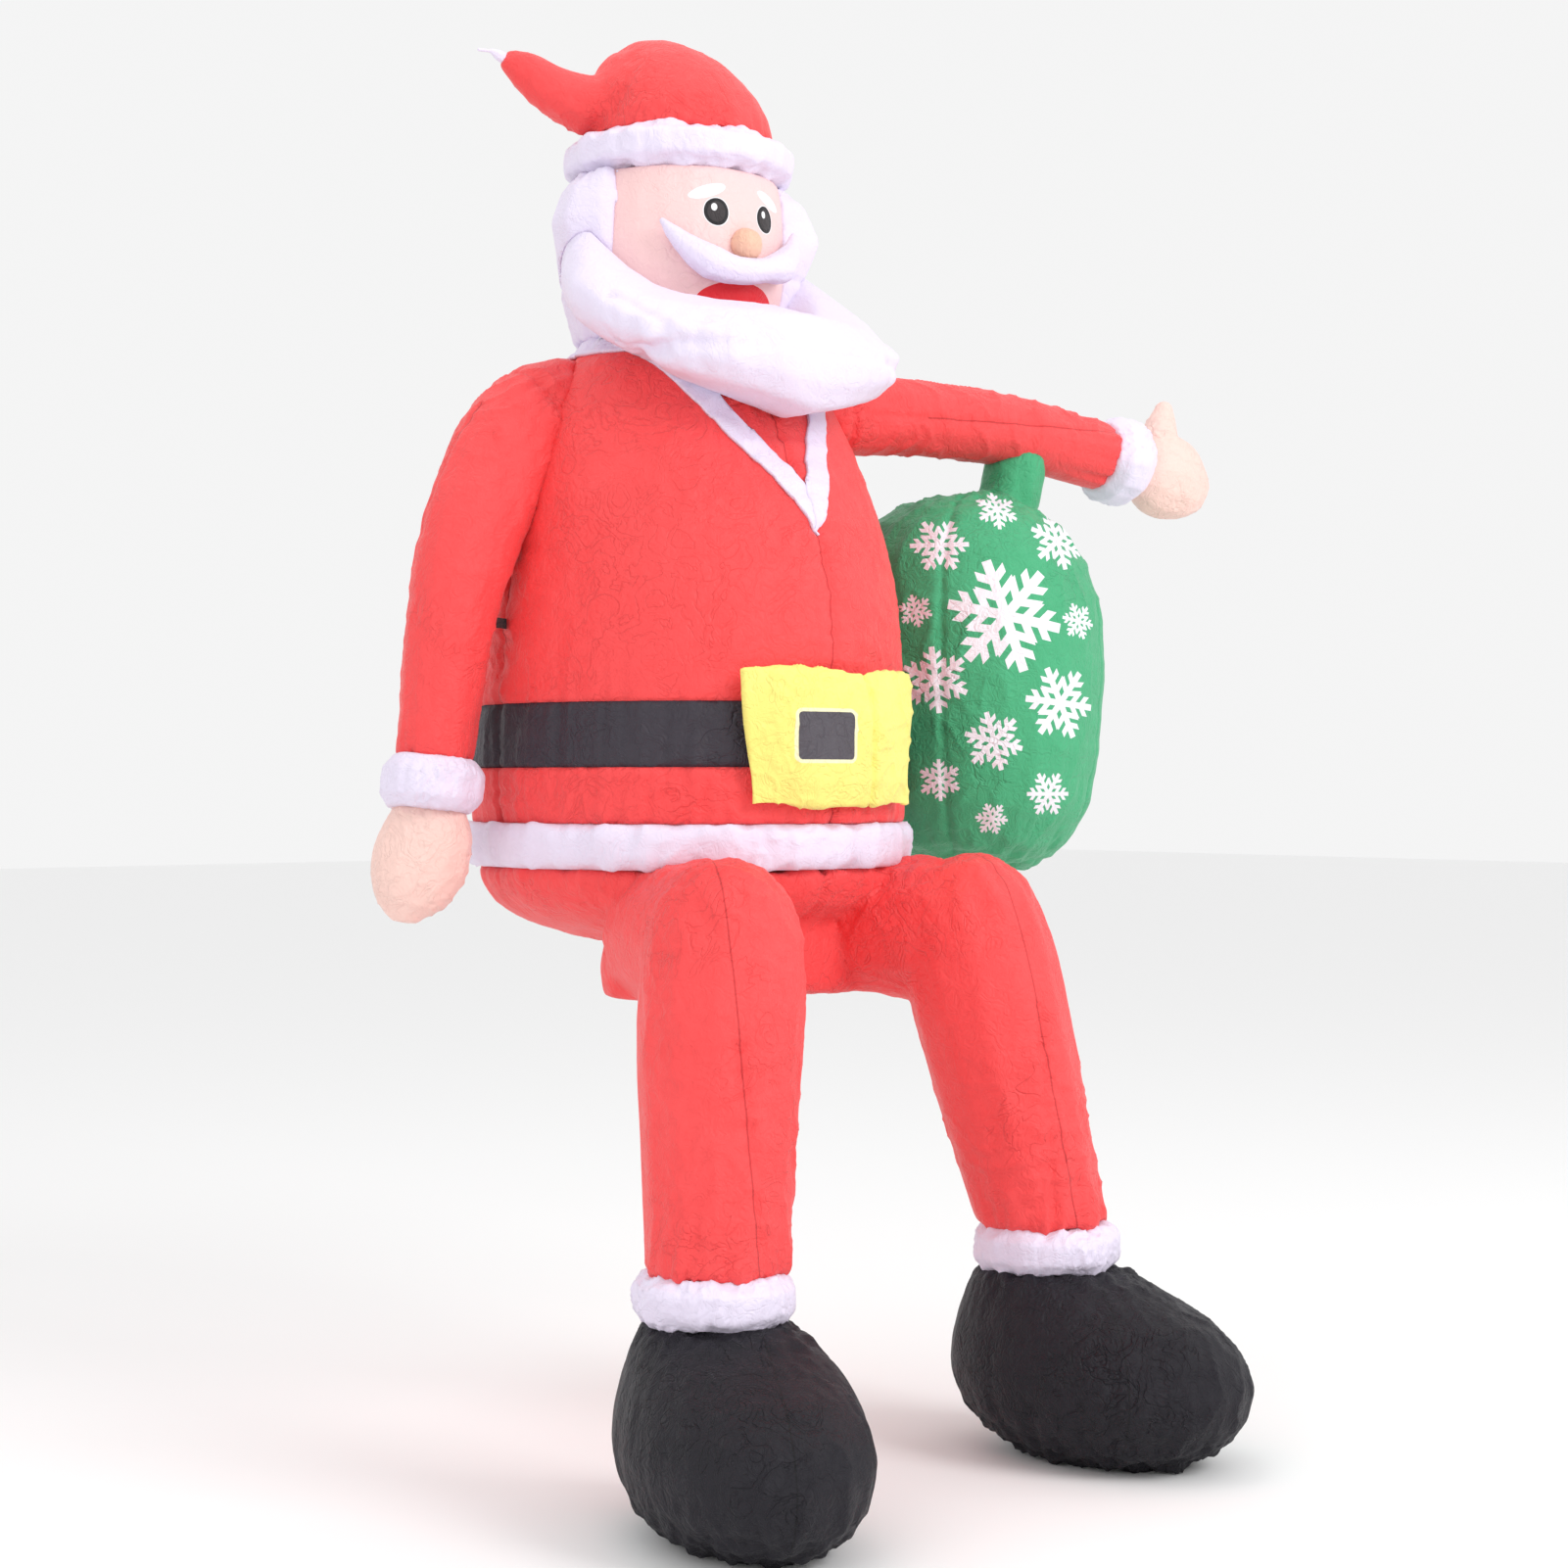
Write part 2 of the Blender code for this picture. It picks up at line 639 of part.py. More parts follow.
def nose():
    made = bmesh.new()
    bmesh.ops.create_uvsphere(made, u_segments=12, v_segments=8, radius=NOSE_RADIUS * SHARE)
    bmesh.ops.translate(made, vec=head_point(0, HEAD_RADIUS + 0.2, NECK_SEAM + NOSE_RISE), verts=made.verts)
    made = piece("nose", mesh_of(made, "nose"), NOSE_SKIN)
    boolean(made, head_cutter)

# Hat

def hat_band():
    centre = Vector((*head_centre(), (HAT_BAND_BOTTOM + HAT_BAND_TOP) / 2 * SHARE))
    width = HAT_BAND_WIDTH * SHARE - SEAM_GAP
    mesh = puffed_ring("hat_band", centre, Vector((0, 0, 1)), BAND_RADIUS * SHARE, width, 0.82, ROUND_SIDES)
    piece("hat_band", mesh, WHITE)

def hat_crown():
    """The dome leans to his right and back, and the soft tail leaves it on that side."""
    base = seam_above(HAT_BAND_TOP)
    rise = CROWN_TOP * SHARE - base
    widest = math.radians(86)
    steps = 7
    rings = []
    for i in range(steps + 1):
        angle = widest * i / steps
        up = math.sin(angle) / math.sin(widest)
        size = CROWN_RADIUS * math.cos(angle) ** 0.95 * SHARE
        shift = up**1.5
        centre = place(CROWN_LEAN[0] * shift, HEAD_BACK + CROWN_LEAN[1] * shift, 0)
        centre.z = base + rise * up
        rings.append(ellipse(centre, size, size, ROUND_SIDES))
    made = piece("hat_crown", lofted("hat_crown", rings), RED)
    boolean(made, cutter("hat_tail", limb("hat_tail", HAT_TAIL, HAT_TAIL_RADII, 12)), "UNION")
    top = place(20, 20, HAT_BAND_TOP) + Vector((0, 0, SEAM_GAP / 2))
    boolean(made, cutter("below_crown", block("below_crown", place(-20, -20, HAT_BAND_BOTTOM), top)))

def hat_tip():
    """The gathered end of the tail and the short tied cord that is left of it."""
    end, out = limb_end(HAT_TAIL)
    start = end + out * SEAM_GAP
    stops = ((0, 0.42), (0.5, 0.40), (1.05, 0.2))
    path = [start + out * along * SHARE for along, _ in stops]
    radii = [radius * SHARE for _, radius in stops]
    cord_way = Vector(HAT_TIP_WAY).normalized()
    for along in (0.2, 0.6, 1.0):
        path.append(start + (out * stops[-1][0] + cord_way * along) * SHARE)
        radii.append(TIP_CORD_RADIUS)
    piece("hat_tip", tube("hat_tip", path, radii, 8), WHITE)

# Arms

def arm(side, points, radii):
    made = piece("sleeve_" + side, limb("sleeve_" + side, points, radii), RED)
    boolean(made, torso_cutter)
    if side == "left":
        boolean(made, beard_cutter)
    end, out = limb_end(points)
    width = CUFF_WIDTH * SHARE
    centre = end + out * (SEAM_GAP + width / 2)
    piece("cuff_" + side, puffed_ring("cuff_" + side, centre, out, CUFF_RADIUS * SHARE, width), WHITE)

def mitten(side, points, stops, drift, palm_way, thickness):
    """A soft hand beyond the cuff, flattened along palm_way."""
    end, out = limb_end(points)
    start = end + out * (2 * SEAM_GAP + CUFF_WIDTH * SHARE)
    path = [start + (out * along + drift * shift) * SHARE for along, _, shift in stops]
    path = [start, start + out * 0.2 * SHARE, *smooth_path(path[1:], 2)]
    sizes = [(along, radius) for along, radius, _ in stops]
    radii = [hermite(sizes, (point - start).dot(out) / SHARE)[0] * SHARE for point in path]
    level = (palm_way - out * palm_way.dot(out)).normalized()
    mesh = flattened(tube("mitten_" + side, path, radii), start, level, thickness)
    return piece("mitten_" + side, mesh, SKIN), start

def mittens():
    """The right one hangs straight down, the left one points away with its thumb raised."""
    mitten("right", RIGHT_ARM, RIGHT_HAND, Vector((1, 0, 0)), Vector((0.64, 0.77, 0)), 0.72)
    made, start = mitten("left", LEFT_ARM, LEFT_HAND, Vector((0, 0, 1)), Vector((0.12, 1, 0)), 0.7)
    root = start / SHARE + Vector((2.2, -0.2, 1.2))
    way = (root, root + Vector((0.4, -0.1, 1.7)), root + Vector((0.9, -0.15, 3.6)))
    thumb = limb("thumb", way, (1.6, 1.4, 0.75), 10, round_end=True)
    boolean(made, cutter("thumb", thumb), "UNION")

# Legs

def on_side(points, side):
    """Points of a left limb, mirrored for the right one."""
    return [(-x if side == "right" else x, y, height) for x, y, height in points]

def trousers():
    """The bowl under the hem, the flat-bottomed bolster of the seat, and both legs, sewn as one."""
    steps = 7
    heights = [BOWL_BOTTOM + BOWL_DEPTH * (i / steps) ** 1.6 for i in range(steps + 1)]
    stations = [list(torso_station(height)) for height in heights]
    stations[-1][0] = seam_below(HEM_BOTTOM)
    made = piece("trousers", stack("trousers", stations), RED)
    bolster = stack(
        "bolster",
        [
            (height * SHARE, SEAT_HALF_WIDTH * size * SHARE, SEAT_HALF_DEPTH * size * SHARE)
            for height, size in ((SEAT_HEIGHT - 1, 0.97), (SEAT_HEIGHT + 2, 1), (SEAT_HEIGHT + 5.8, 0.92))
        ],
        centre=(0, -TORSO_SETBACK * SHARE),
    )
    boolean(made, cutter("bolster", bolster), "UNION")
    for side in ("right", "left"):
        thigh = limb("thigh_" + side, on_side(LEFT_THIGH, side), THIGH_RADII, round_end=True)
        boolean(made, cutter("thigh_" + side, thigh), "UNION")
        shin = limb("shin_" + side, on_side(LEFT_SHIN, side), SHIN_RADII, round_start=True)
        boolean(made, cutter("shin_" + side, shin), "UNION")
    behind_shins = LEFT_SHIN[1][1] + SHIN_RADII[1] + 0.7
    below_seat = block("below_seat", place(-30, behind_shins, SEAT_HEIGHT - 8), place(30, 30, SEAT_HEIGHT))
    boolean(made, cutter("below_seat", below_seat))
    below_shins = block("below_shins", place(-30, -40, 0), place(30, 0, LEG_CUFF_TOP))
    boolean(made, cutter("below_shins", below_shins))
    hem_room = stack("hem_room", stretched(hem_stations(), SEAM_GAP), grow=SEAM_GAP)
    boolean(made, cutter("hem_room", hem_room))

def leg_cuff(side):
    down = Vector((0, 0, -1))
    ankle = on_side([(*LEFT_ANKLE, LEG_CUFF_TOP)], side)[0]
    width = LEG_CUFF_WIDTH * SHARE
    centre = place(*ankle) + down * (SEAM_GAP + width / 2)
    mesh = puffed_ring("leg_cuff_" + side, centre, down, LEG_CUFF_RADIUS * SHARE, width, 0.84)
    piece("leg_cuff_" + side, mesh, WHITE)

def boot(side):
    """A round soft boot: level ellipses that grow forwards from the ankle, turned out with the foot."""
    turn = BOOT_TURN_OUT * (-1 if side == "right" else 1)
    ankle = Vector(on_side([(*LEFT_ANKLE, 0)], side)[0])
    forward = Vector((math.sin(turn), -math.cos(turn), 0))
    rings = []
    for share, ahead, half_width, half_length in BOOT_OUTLINE:
        centre = (ankle + forward * ahead + Vector((0, 0, BOOT_HEIGHT * share))) * SHARE
        rings.append(ellipse(centre, half_width * SHARE, half_length * SHARE, 20, turn))
    for point in rings[-1]:
        point.z -= 2 * SEAM_GAP
    piece("boot_" + side, lofted("boot_" + side, rings), BLACK)

# Sack and strap

def sack():
    rings = []
    for rise, share, lean in SACK_OUTLINE:
        size = SACK_RADIUS * share * SHARE
        rings.append(ellipse(place(SACK_AXIS[0] - lean, SACK_AXIS[1], HEM_BOTTOM + rise), size, size, ROUND_SIDES))
    made = piece("sack", lofted("sack", rings), GREEN)
    neck_radii = (SACK_NECK_RADIUS * 1.12, SACK_NECK_RADIUS, SACK_NECK_RADIUS * 1.05)
    boolean(made, cutter("sack_neck", limb("sack_neck", SACK_NECK, neck_radii)), "UNION")
    boolean(made, cutter("arm_room", limb("arm_room", LEFT_ARM, grown(LEFT_ARM_RADII))))
    boolean(made, torso_cutter)

def side_strap():
    """Flat webbing from the coat's side seam to the inner side of the right sleeve."""
    elbow = RIGHT_ARM[4]
    start = place(0.6 - torso_size(elbow[2])[0], 0.9, elbow[2] + 0.2)
    end = place(elbow[0] + 0.3, 1.9, elbow[2] - 0.4)
    along = end - start
    made = bmesh.new()
    bmesh.ops.create_cube(made, size=1)
    bmesh.ops.scale(made, vec=(along.length, STRAP_THICKNESS, STRAP_WIDTH), verts=made.verts)
    turn = Vector((1, 0, 0)).rotation_difference(along).to_matrix()
    bmesh.ops.rotate(made, matrix=turn, verts=made.verts)
    bmesh.ops.translate(made, vec=(start + end) / 2, verts=made.verts)
    made = piece("side_strap", mesh_of(made, "side_strap"), BLACK)
    boolean(made, torso_cutter)
    boolean(made, cutter("sleeve_room", limb("sleeve_room", RIGHT_ARM, grown(RIGHT_ARM_RADII))))

clear_scene()
santa = new_collection("inflatable_santa")
cutters = new_collection("cutters")
figure = bpy.data.objects.new("figure", None)
figure.location = place(0, TORSO_SETBACK, -SEAT_HEIGHT)
santa.objects.link(figure)

torso_room = torso_slice("torso_room", HEM_TOP, NECK_SEAM, SEAM_GAP, SEAM_GAP)
torso_cutter = cutter("torso_room", torso_room)
collar_grow = COLLAR_THICKNESS + 2 * SEAM_GAP
collar_room = torso_slice("collar_room", HEM_TOP, NECK_SEAM, collar_grow, SEAM_GAP)
collar_cutter = cutter("collar_room", collar_room)
head_room = stack("head_room", stretched(head_stations(), 0.5 * SHARE), head_centre(), SEAM_GAP)
head_cutter = cutter("head_room", head_room)
beard_cutter = cutter("beard_room", beard_mesh("beard_room", 2 * SEAM_GAP))

coat()
coat_hem()
collar()
buckle()
trousers()
for leg_side in ("right", "left"):
    leg_cuff(leg_side)
    boot(leg_side)
arm("right", RIGHT_ARM, RIGHT_ARM_RADII)
arm("left", LEFT_ARM, LEFT_ARM_RADII)
mittens()
head()
hair()
beard()
moustache()
nose()
hat_band()
hat_crown()
hat_tip()
sack()
side_strap()
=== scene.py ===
import math

import bpy
import numpy as np
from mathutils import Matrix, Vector, noise


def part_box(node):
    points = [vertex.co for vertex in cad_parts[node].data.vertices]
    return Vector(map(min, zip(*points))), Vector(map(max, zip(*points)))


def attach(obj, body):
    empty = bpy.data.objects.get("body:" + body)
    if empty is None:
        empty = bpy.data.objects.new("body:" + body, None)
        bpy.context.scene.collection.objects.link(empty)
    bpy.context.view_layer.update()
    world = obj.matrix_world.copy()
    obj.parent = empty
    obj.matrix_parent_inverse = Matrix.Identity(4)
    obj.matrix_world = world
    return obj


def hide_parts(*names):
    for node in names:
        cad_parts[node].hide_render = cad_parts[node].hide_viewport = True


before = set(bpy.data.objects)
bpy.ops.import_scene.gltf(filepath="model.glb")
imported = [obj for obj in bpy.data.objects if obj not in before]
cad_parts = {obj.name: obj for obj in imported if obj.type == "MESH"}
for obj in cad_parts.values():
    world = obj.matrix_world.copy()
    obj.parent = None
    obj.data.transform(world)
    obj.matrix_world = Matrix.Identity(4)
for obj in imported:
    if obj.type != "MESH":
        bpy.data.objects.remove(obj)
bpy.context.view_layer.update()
scene = bpy.context.scene
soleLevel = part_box("boot_left")[0].z
share = 2.44 / 99.4  # the solids' unit, about a hundredth of his height
seatShare = 31.6


def level(height):
    return (height - seatShare) * share


def pick(piece):
    bpy.ops.object.select_all(action="DESELECT")
    piece.select_set(True)
    bpy.context.view_layer.objects.active = piece


def applyModifier(piece, kind, **settings):
    pick(piece)
    step = piece.modifiers.new(kind.title(), kind)
    for key, value in settings.items():
        setattr(step, key, value)
    bpy.ops.object.modifier_apply(modifier=step.name)


def wear(piece, material, nodes):
    piece.data.materials.clear()
    piece.data.materials.append(material)
    pick(piece)
    bpy.ops.object.shade_smooth()
    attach(piece, "root")
    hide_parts(*nodes)


# Small shader building helpers

def newGroup(name, inputs, outputs):
    tree = bpy.data.node_groups.new(name, "ShaderNodeTree")
    for label, kind, value in inputs:
        socket = tree.interface.new_socket(label, in_out="INPUT", socket_type=kind)
        if value is not None:
            socket.default_value = value
    for label, kind in outputs:
        tree.interface.new_socket(label, in_out="OUTPUT", socket_type=kind)
    return tree, tree.nodes.new("NodeGroupInput"), tree.nodes.new("NodeGroupOutput")


def calc(tree, operation, *values):
    node = tree.nodes.new("ShaderNodeMath")
    node.operation = operation
    for socket, value in zip(node.inputs, values):
        if isinstance(value, (int, float)):
            socket.default_value = value
        else:
            tree.links.new(value, socket)
    return node.outputs[0]


def noiseTexture(tree, vector, scale, detail=3.0, distortion=0.0):
    node = tree.nodes.new("ShaderNodeTexNoise")
    node.inputs["Scale"].default_value = scale
    node.inputs["Detail"].default_value = detail
    node.inputs["Distortion"].default_value = distortion
    tree.links.new(vector, node.inputs["Vector"])
    return node.outputs["Fac"]


def mixColour(tree, factor, under, over):
    node = tree.nodes.new("ShaderNodeMix")
    node.data_type = "RGBA"
    for socket, value in ((node.inputs[0], factor), (node.inputs[6], under), (node.inputs[7], over)):
        if isinstance(value, (tuple, float)):
            socket.default_value = (*value, 1) if isinstance(value, tuple) else value
        else:
            tree.links.new(value, socket)
    return node.outputs[2]


taffeta = {  # noise scales per metre, and the part that each plays in the relief
    "broadTone": 4.5, "patchyTone": 23.0, "crinkle": 42.0, "crinkleDepth": 2.4,
    "threads": 210.0, "threadDepth": 0.04, "folds": 15.0, "foldWidth": 0.035, "foldDepth": 0.9,
    "gloss": 0.36, "glossSpread": 0.26, "sheenRoughness": 0.4, "reliefDepth": 0.008,
}


def taffetaGroup():
    vector = ("Vector", "NodeSocketVector", None)
    outputs = [("Tone", "NodeSocketFloat"), ("Gloss", "NodeSocketFloat"), ("Height", "NodeSocketFloat")]
    tree, given, out = newGroup("taffeta", [vector], outputs)
    place = given.outputs["Vector"]
    broad = noiseTexture(tree, place, taffeta["broadTone"], 4.0, 0.6)
    patchy = noiseTexture(tree, place, taffeta["patchyTone"], 5.0, 0.4)
    tone = calc(tree, "ADD", calc(tree, "MULTIPLY", broad, 0.65), calc(tree, "MULTIPLY", patchy, 0.35))
    crinkle = noiseTexture(tree, place, taffeta["crinkle"], 6.0, 1.4)
    ridge = calc(tree, "ABSOLUTE", calc(tree, "SUBTRACT", crinkle, 0.5))
    weaves = []
    for axis in ("X", "Z"):
        wave = tree.nodes.new("ShaderNodeTexWave")
        wave.bands_direction = axis
        wave.inputs["Scale"].default_value = taffeta["threads"]
        wave.inputs["Distortion"].default_value = 0.6
        tree.links.new(place, wave.inputs["Vector"])
        weaves.append(wave.outputs["Fac"])
    weave = calc(tree, "MULTIPLY", calc(tree, "ADD", *weaves), taffeta["threadDepth"])
    height = calc(tree, "SUBTRACT", weave, calc(tree, "MULTIPLY", ridge, taffeta["crinkleDepth"]))
    folds = noiseTexture(tree, place, taffeta["folds"], 2.0, 2.2)
    fromFold = calc(tree, "ABSOLUTE", calc(tree, "SUBTRACT", folds, 0.5))
    crease = calc(tree, "DIVIDE", fromFold, taffeta["foldWidth"])
    crease = calc(tree, "SUBTRACT", 1.0, calc(tree, "MINIMUM", crease, 1.0))
    here = calc(tree, "MULTIPLY", calc(tree, "MAXIMUM", calc(tree, "SUBTRACT", broad, 0.46), 0.0), 9.0)
    crease = calc(tree, "MULTIPLY", crease, calc(tree, "MINIMUM", here, 1.0))
    height = calc(tree, "SUBTRACT", height, calc(tree, "MULTIPLY", crease, taffeta["foldDepth"]))
    gloss = calc(tree, "ADD", taffeta["gloss"], calc(tree, "MULTIPLY", patchy, taffeta["glossSpread"]))
    tree.links.new(tone, out.inputs["Tone"])
    tree.links.new(gloss, out.inputs["Gloss"])
    tree.links.new(height, out.inputs["Height"])
    return tree


def ellipseGroup():
    names = ("Middle X", "Middle Z", "Half Width", "Half Height", "Turn")
    inputs = [("Vector", "NodeSocketVector", None)]
    inputs += [(name, "NodeSocketFloat", 0.0) for name in names]
    tree, given, out = newGroup("ellipseMask", inputs, [("Mask", "NodeSocketFloat")])
    split = tree.nodes.new("ShaderNodeSeparateXYZ")
    tree.links.new(given.outputs["Vector"], split.inputs[0])
    across = calc(tree, "SUBTRACT", split.outputs[0], given.outputs["Middle X"])
    up = calc(tree, "SUBTRACT", split.outputs[2], given.outputs["Middle Z"])
    cosine = calc(tree, "COSINE", given.outputs["Turn"])
    sine = calc(tree, "SINE", given.outputs["Turn"])
    along = calc(tree, "ADD", calc(tree, "MULTIPLY", across, cosine), calc(tree, "MULTIPLY", up, sine))
    over = calc(tree, "SUBTRACT", calc(tree, "MULTIPLY", up, cosine), calc(tree, "MULTIPLY", across, sine))
    along = calc(tree, "POWER", calc(tree, "DIVIDE", along, given.outputs["Half Width"]), 2.0)
    over = calc(tree, "POWER", calc(tree, "DIVIDE", over, given.outputs["Half Height"]), 2.0)
    tree.links.new(calc(tree, "LESS_THAN", calc(tree, "ADD", along, over), 1.0), out.inputs["Mask"])
    return tree


flakeShape = {
    "armHalfWidth": 0.085, "twigHalfWidth": 0.07, "twigLean": math.radians(55),
    "twigs": ((0.32, 0.34), (0.62, 0.26)),  # where each pair leaves the arm, and its length
}


def snowflakeGroup():
    inputs = [("Vector", "NodeSocketVector", None)]
    inputs += [(name, "NodeSocketFloat", 0.0) for name in ("Middle X", "Middle Z", "Reach", "Turn")]
    tree, given, out = newGroup("snowflake", inputs, [("Mask", "NodeSocketFloat")])
    split = tree.nodes.new("ShaderNodeSeparateXYZ")
    tree.links.new(given.outputs["Vector"], split.inputs[0])
    reach = given.outputs["Reach"]
    fromMiddle = calc(tree, "SUBTRACT", split.outputs[0], given.outputs["Middle X"])
    across = calc(tree, "DIVIDE", fromMiddle, reach)
    up = calc(tree, "DIVIDE", calc(tree, "SUBTRACT", split.outputs[2], given.outputs["Middle Z"]), reach)
    squares = calc(tree, "ADD", calc(tree, "MULTIPLY", across, across), calc(tree, "MULTIPLY", up, up))
    radius = calc(tree, "SQRT", squares)
    angle = calc(tree, "ADD", calc(tree, "ARCTAN2", up, across), given.outputs["Turn"])
    angle = calc(tree, "PINGPONG", angle, math.radians(30))
    along = calc(tree, "MULTIPLY", radius, calc(tree, "COSINE", angle))
    aside = calc(tree, "MULTIPLY", radius, calc(tree, "SINE", angle))
    mask = calc(tree, "LESS_THAN", aside, flakeShape["armHalfWidth"])
    mask = calc(tree, "MULTIPLY", mask, calc(tree, "LESS_THAN", along, 1.0))
    sine, cosine = math.sin(flakeShape["twigLean"]), math.cos(flakeShape["twigLean"])
    for start, length in flakeShape["twigs"]:
        lean = calc(tree, "MULTIPLY", calc(tree, "SUBTRACT", along, start), sine)
        gap = calc(tree, "SUBTRACT", lean, calc(tree, "MULTIPLY", aside, cosine))
        twig = calc(tree, "LESS_THAN", calc(tree, "ABSOLUTE", gap), flakeShape["twigHalfWidth"])
        twig = calc(tree, "MULTIPLY", twig, calc(tree, "LESS_THAN", aside, length))
        mask = calc(tree, "MAXIMUM", mask, twig)
    tree.links.new(mask, out.inputs["Mask"])
    return tree


# Painted shade: a thin darker line on the cloth stands in for the shade in each seam's groove
seamShading = {"halfWidth": 0.0015, "strength": 0.6}


# Mask of one painted seam-groove shade line
def seamShadeGroup():
    names = ("Vector", "At", "Across", "Side")
    inputs = [(name, "NodeSocketVector", None) for name in names]
    tree, given, out = newGroup("seamShadeLine", inputs, [("Mask", "NodeSocketFloat")])
    offset = tree.nodes.new("ShaderNodeVectorMath")
    offset.operation = "SUBTRACT"
    tree.links.new(given.outputs["Vector"], offset.inputs[0])
    tree.links.new(given.outputs["At"], offset.inputs[1])
    reaches = []
    for name in ("Across", "Side"):
        dot = tree.nodes.new("ShaderNodeVectorMath")
        dot.operation = "DOT_PRODUCT"
        tree.links.new(offset.outputs[0], dot.inputs[0])
        tree.links.new(given.outputs[name], dot.inputs[1])
        reaches.append(dot.outputs["Value"])
    near = calc(tree, "LESS_THAN", calc(tree, "ABSOLUTE", reaches[0]), seamShading["halfWidth"])
    ahead = calc(tree, "GREATER_THAN", reaches[1], 0.0)
    tree.links.new(calc(tree, "MULTIPLY", near, ahead), out.inputs["Mask"])
    return tree


groups = {"taffeta": taffetaGroup(), "ellipse": ellipseGroup(), "flake": snowflakeGroup()}
groups["seamShadeLine"] = seamShadeGroup()


def useGroup(tree, name, vector, **values):
    node = tree.nodes.new("ShaderNodeGroup")
    node.node_tree = groups[name]
    tree.links.new(vector, node.inputs["Vector"])
    for label, value in values.items():
        node.inputs[label.replace("_", " ")].default_value = value
    return node.outputs


def clothMaterial(name, light, deep, paint=None, bump=0.5, sheen=0.12, gloss=0.35):
    material = bpy.data.materials.new(name)
    material.use_nodes = True
    tree = material.node_tree
    shader = tree.nodes["Principled BSDF"]
    place = tree.nodes.new("ShaderNodeTexCoord").outputs["Object"]
    cloth = useGroup(tree, "taffeta", place)
    colour = mixColour(tree, cloth["Tone"], light, deep)
    if paint:
        colour = paint(tree, place, colour)
    tree.links.new(colour, shader.inputs["Base Color"])
    tree.links.new(cloth["Gloss"], shader.inputs["Roughness"])
    shader.inputs["Sheen Weight"].default_value = sheen
    shader.inputs["Sheen Roughness"].default_value = taffeta["sheenRoughness"]
    shader.inputs["Specular IOR Level"].default_value = gloss
    raised = tree.nodes.new("ShaderNodeBump")
    raised.inputs["Strength"].default_value = bump
    raised.inputs["Distance"].default_value = taffeta["reliefDepth"]
    tree.links.new(cloth["Height"], raised.inputs["Height"])
    tree.links.new(raised.outputs["Normal"], shader.inputs["Normal"])
    return material


# Printed face, buckle patch and sack print

face = {
    "eyeX": 0.053, "eyeZ": 1.334, "eyeHalf": (0.0215, 0.0235),
    "browX": 0.067, "browZ": 1.369, "browHalf": (0.033, 0.0105), "browTurn": math.radians(19),
    "mouthZ": 1.183, "mouthHalf": (0.083, 0.036),
    "eyeParts": (  # shift across and up, share of the half width and height, paint
        (0.0, 0.0, 1.07, 1.07, (0.93, 0.88, 0.90)),
        (0.0, 0.0, 1.0, 1.0, (0.008, 0.007, 0.009)),
        (0.0, 0.0, 0.72, 0.76, (0.035, 0.028, 0.03)),
        (-0.004, 0.008, 0.24, 0.27, (0.95, 0.95, 0.97)),
    ),
    "browPaint": (0.90, 0.88, 0.94), "mouthPaint": (0.80, 0.02, 0.03),
}


def paintOval(tree, place, colour, middle, half, paint, turn=0.0):
    size = {"Half_Width": half[0], "Half_Height": half[1], "Turn": turn}
    oval = useGroup(tree, "ellipse", place, Middle_X=middle[0], Middle_Z=middle[1], **size)
    return mixColour(tree, oval["Mask"], colour, paint)


def paintFace(tree, place, colour):
    halfWidth, halfHeight = face["eyeHalf"]
    for side in (-1, 1):
        for shiftX, shiftZ, wide, tall, paint in face["eyeParts"]:
            middle = (side * face["eyeX"] + shiftX, face["eyeZ"] + shiftZ)
            colour = paintOval(tree, place, colour, middle, (halfWidth * wide, halfHeight * tall), paint)
        middle = (side * face["browX"], face["browZ"])
        turn = -side * face["browTurn"]
        colour = paintOval(tree, place, colour, middle, face["browHalf"], face["browPaint"], turn)
    middle = (0.0, face["mouthZ"])
    return paintOval(tree, place, colour, middle, face["mouthHalf"], face["mouthPaint"])


patch = {
    "middle": (-0.047, 0.432), "half": (0.061, 0.045), "corner": 0.013, "piping": 0.006,
    "pipingPaint": (0.93, 0.88, 0.55), "squarePaint": (0.085, 0.075, 0.09),
}


def paintBuckle(tree, place, colour):
    split = tree.nodes.new("ShaderNodeSeparateXYZ")
    tree.links.new(place, split.inputs[0])
    across = calc(tree, "ABSOLUTE", calc(tree, "SUBTRACT", split.outputs[0], patch["middle"][0]))
    up = calc(tree, "ABSOLUTE", calc(tree, "SUBTRACT", split.outputs[2], patch["middle"][1]))
    inner = [half - patch["corner"] for half in patch["half"]]
    outX = calc(tree, "MAXIMUM", calc(tree, "SUBTRACT", across, inner[0]), 0.0)
    outZ = calc(tree, "MAXIMUM", calc(tree, "SUBTRACT", up, inner[1]), 0.0)
    squares = calc(tree, "ADD", calc(tree, "POWER", outX, 2.0), calc(tree, "POWER", outZ, 2.0))
    away = calc(tree, "SQRT", squares)
    piping = calc(tree, "LESS_THAN", away, patch["corner"])
    square = calc(tree, "LESS_THAN", away, patch["corner"] - patch["piping"])
    colour = mixColour(tree, piping, colour, patch["pipingPaint"])
    return mixColour(tree, square, colour, patch["squarePaint"])


sackPrint = {
    "turn": math.radians(38), "behind": 0.40,  # the print looks out past his left side
    "paint": (0.88, 0.87, 0.92),
    "flakes": (  # middle across and up, reach, turn
        (0.470, 0.655, 0.105, 0.20), (0.355, 0.785, 0.052, 0.00), (0.580, 0.800, 0.056, 0.35),
        (0.345, 0.540, 0.060, 0.40), (0.575, 0.500, 0.068, 0.10), (0.450, 0.430, 0.054, 0.25),
        (0.465, 0.855, 0.040, 0.50), (0.612, 0.650, 0.034, 0.15), (0.555, 0.335, 0.042, 0.00),
        (0.310, 0.665, 0.030, 0.30), (0.355, 0.360, 0.038, 0.45), (0.450, 0.290, 0.030, 0.10),
    ),
}


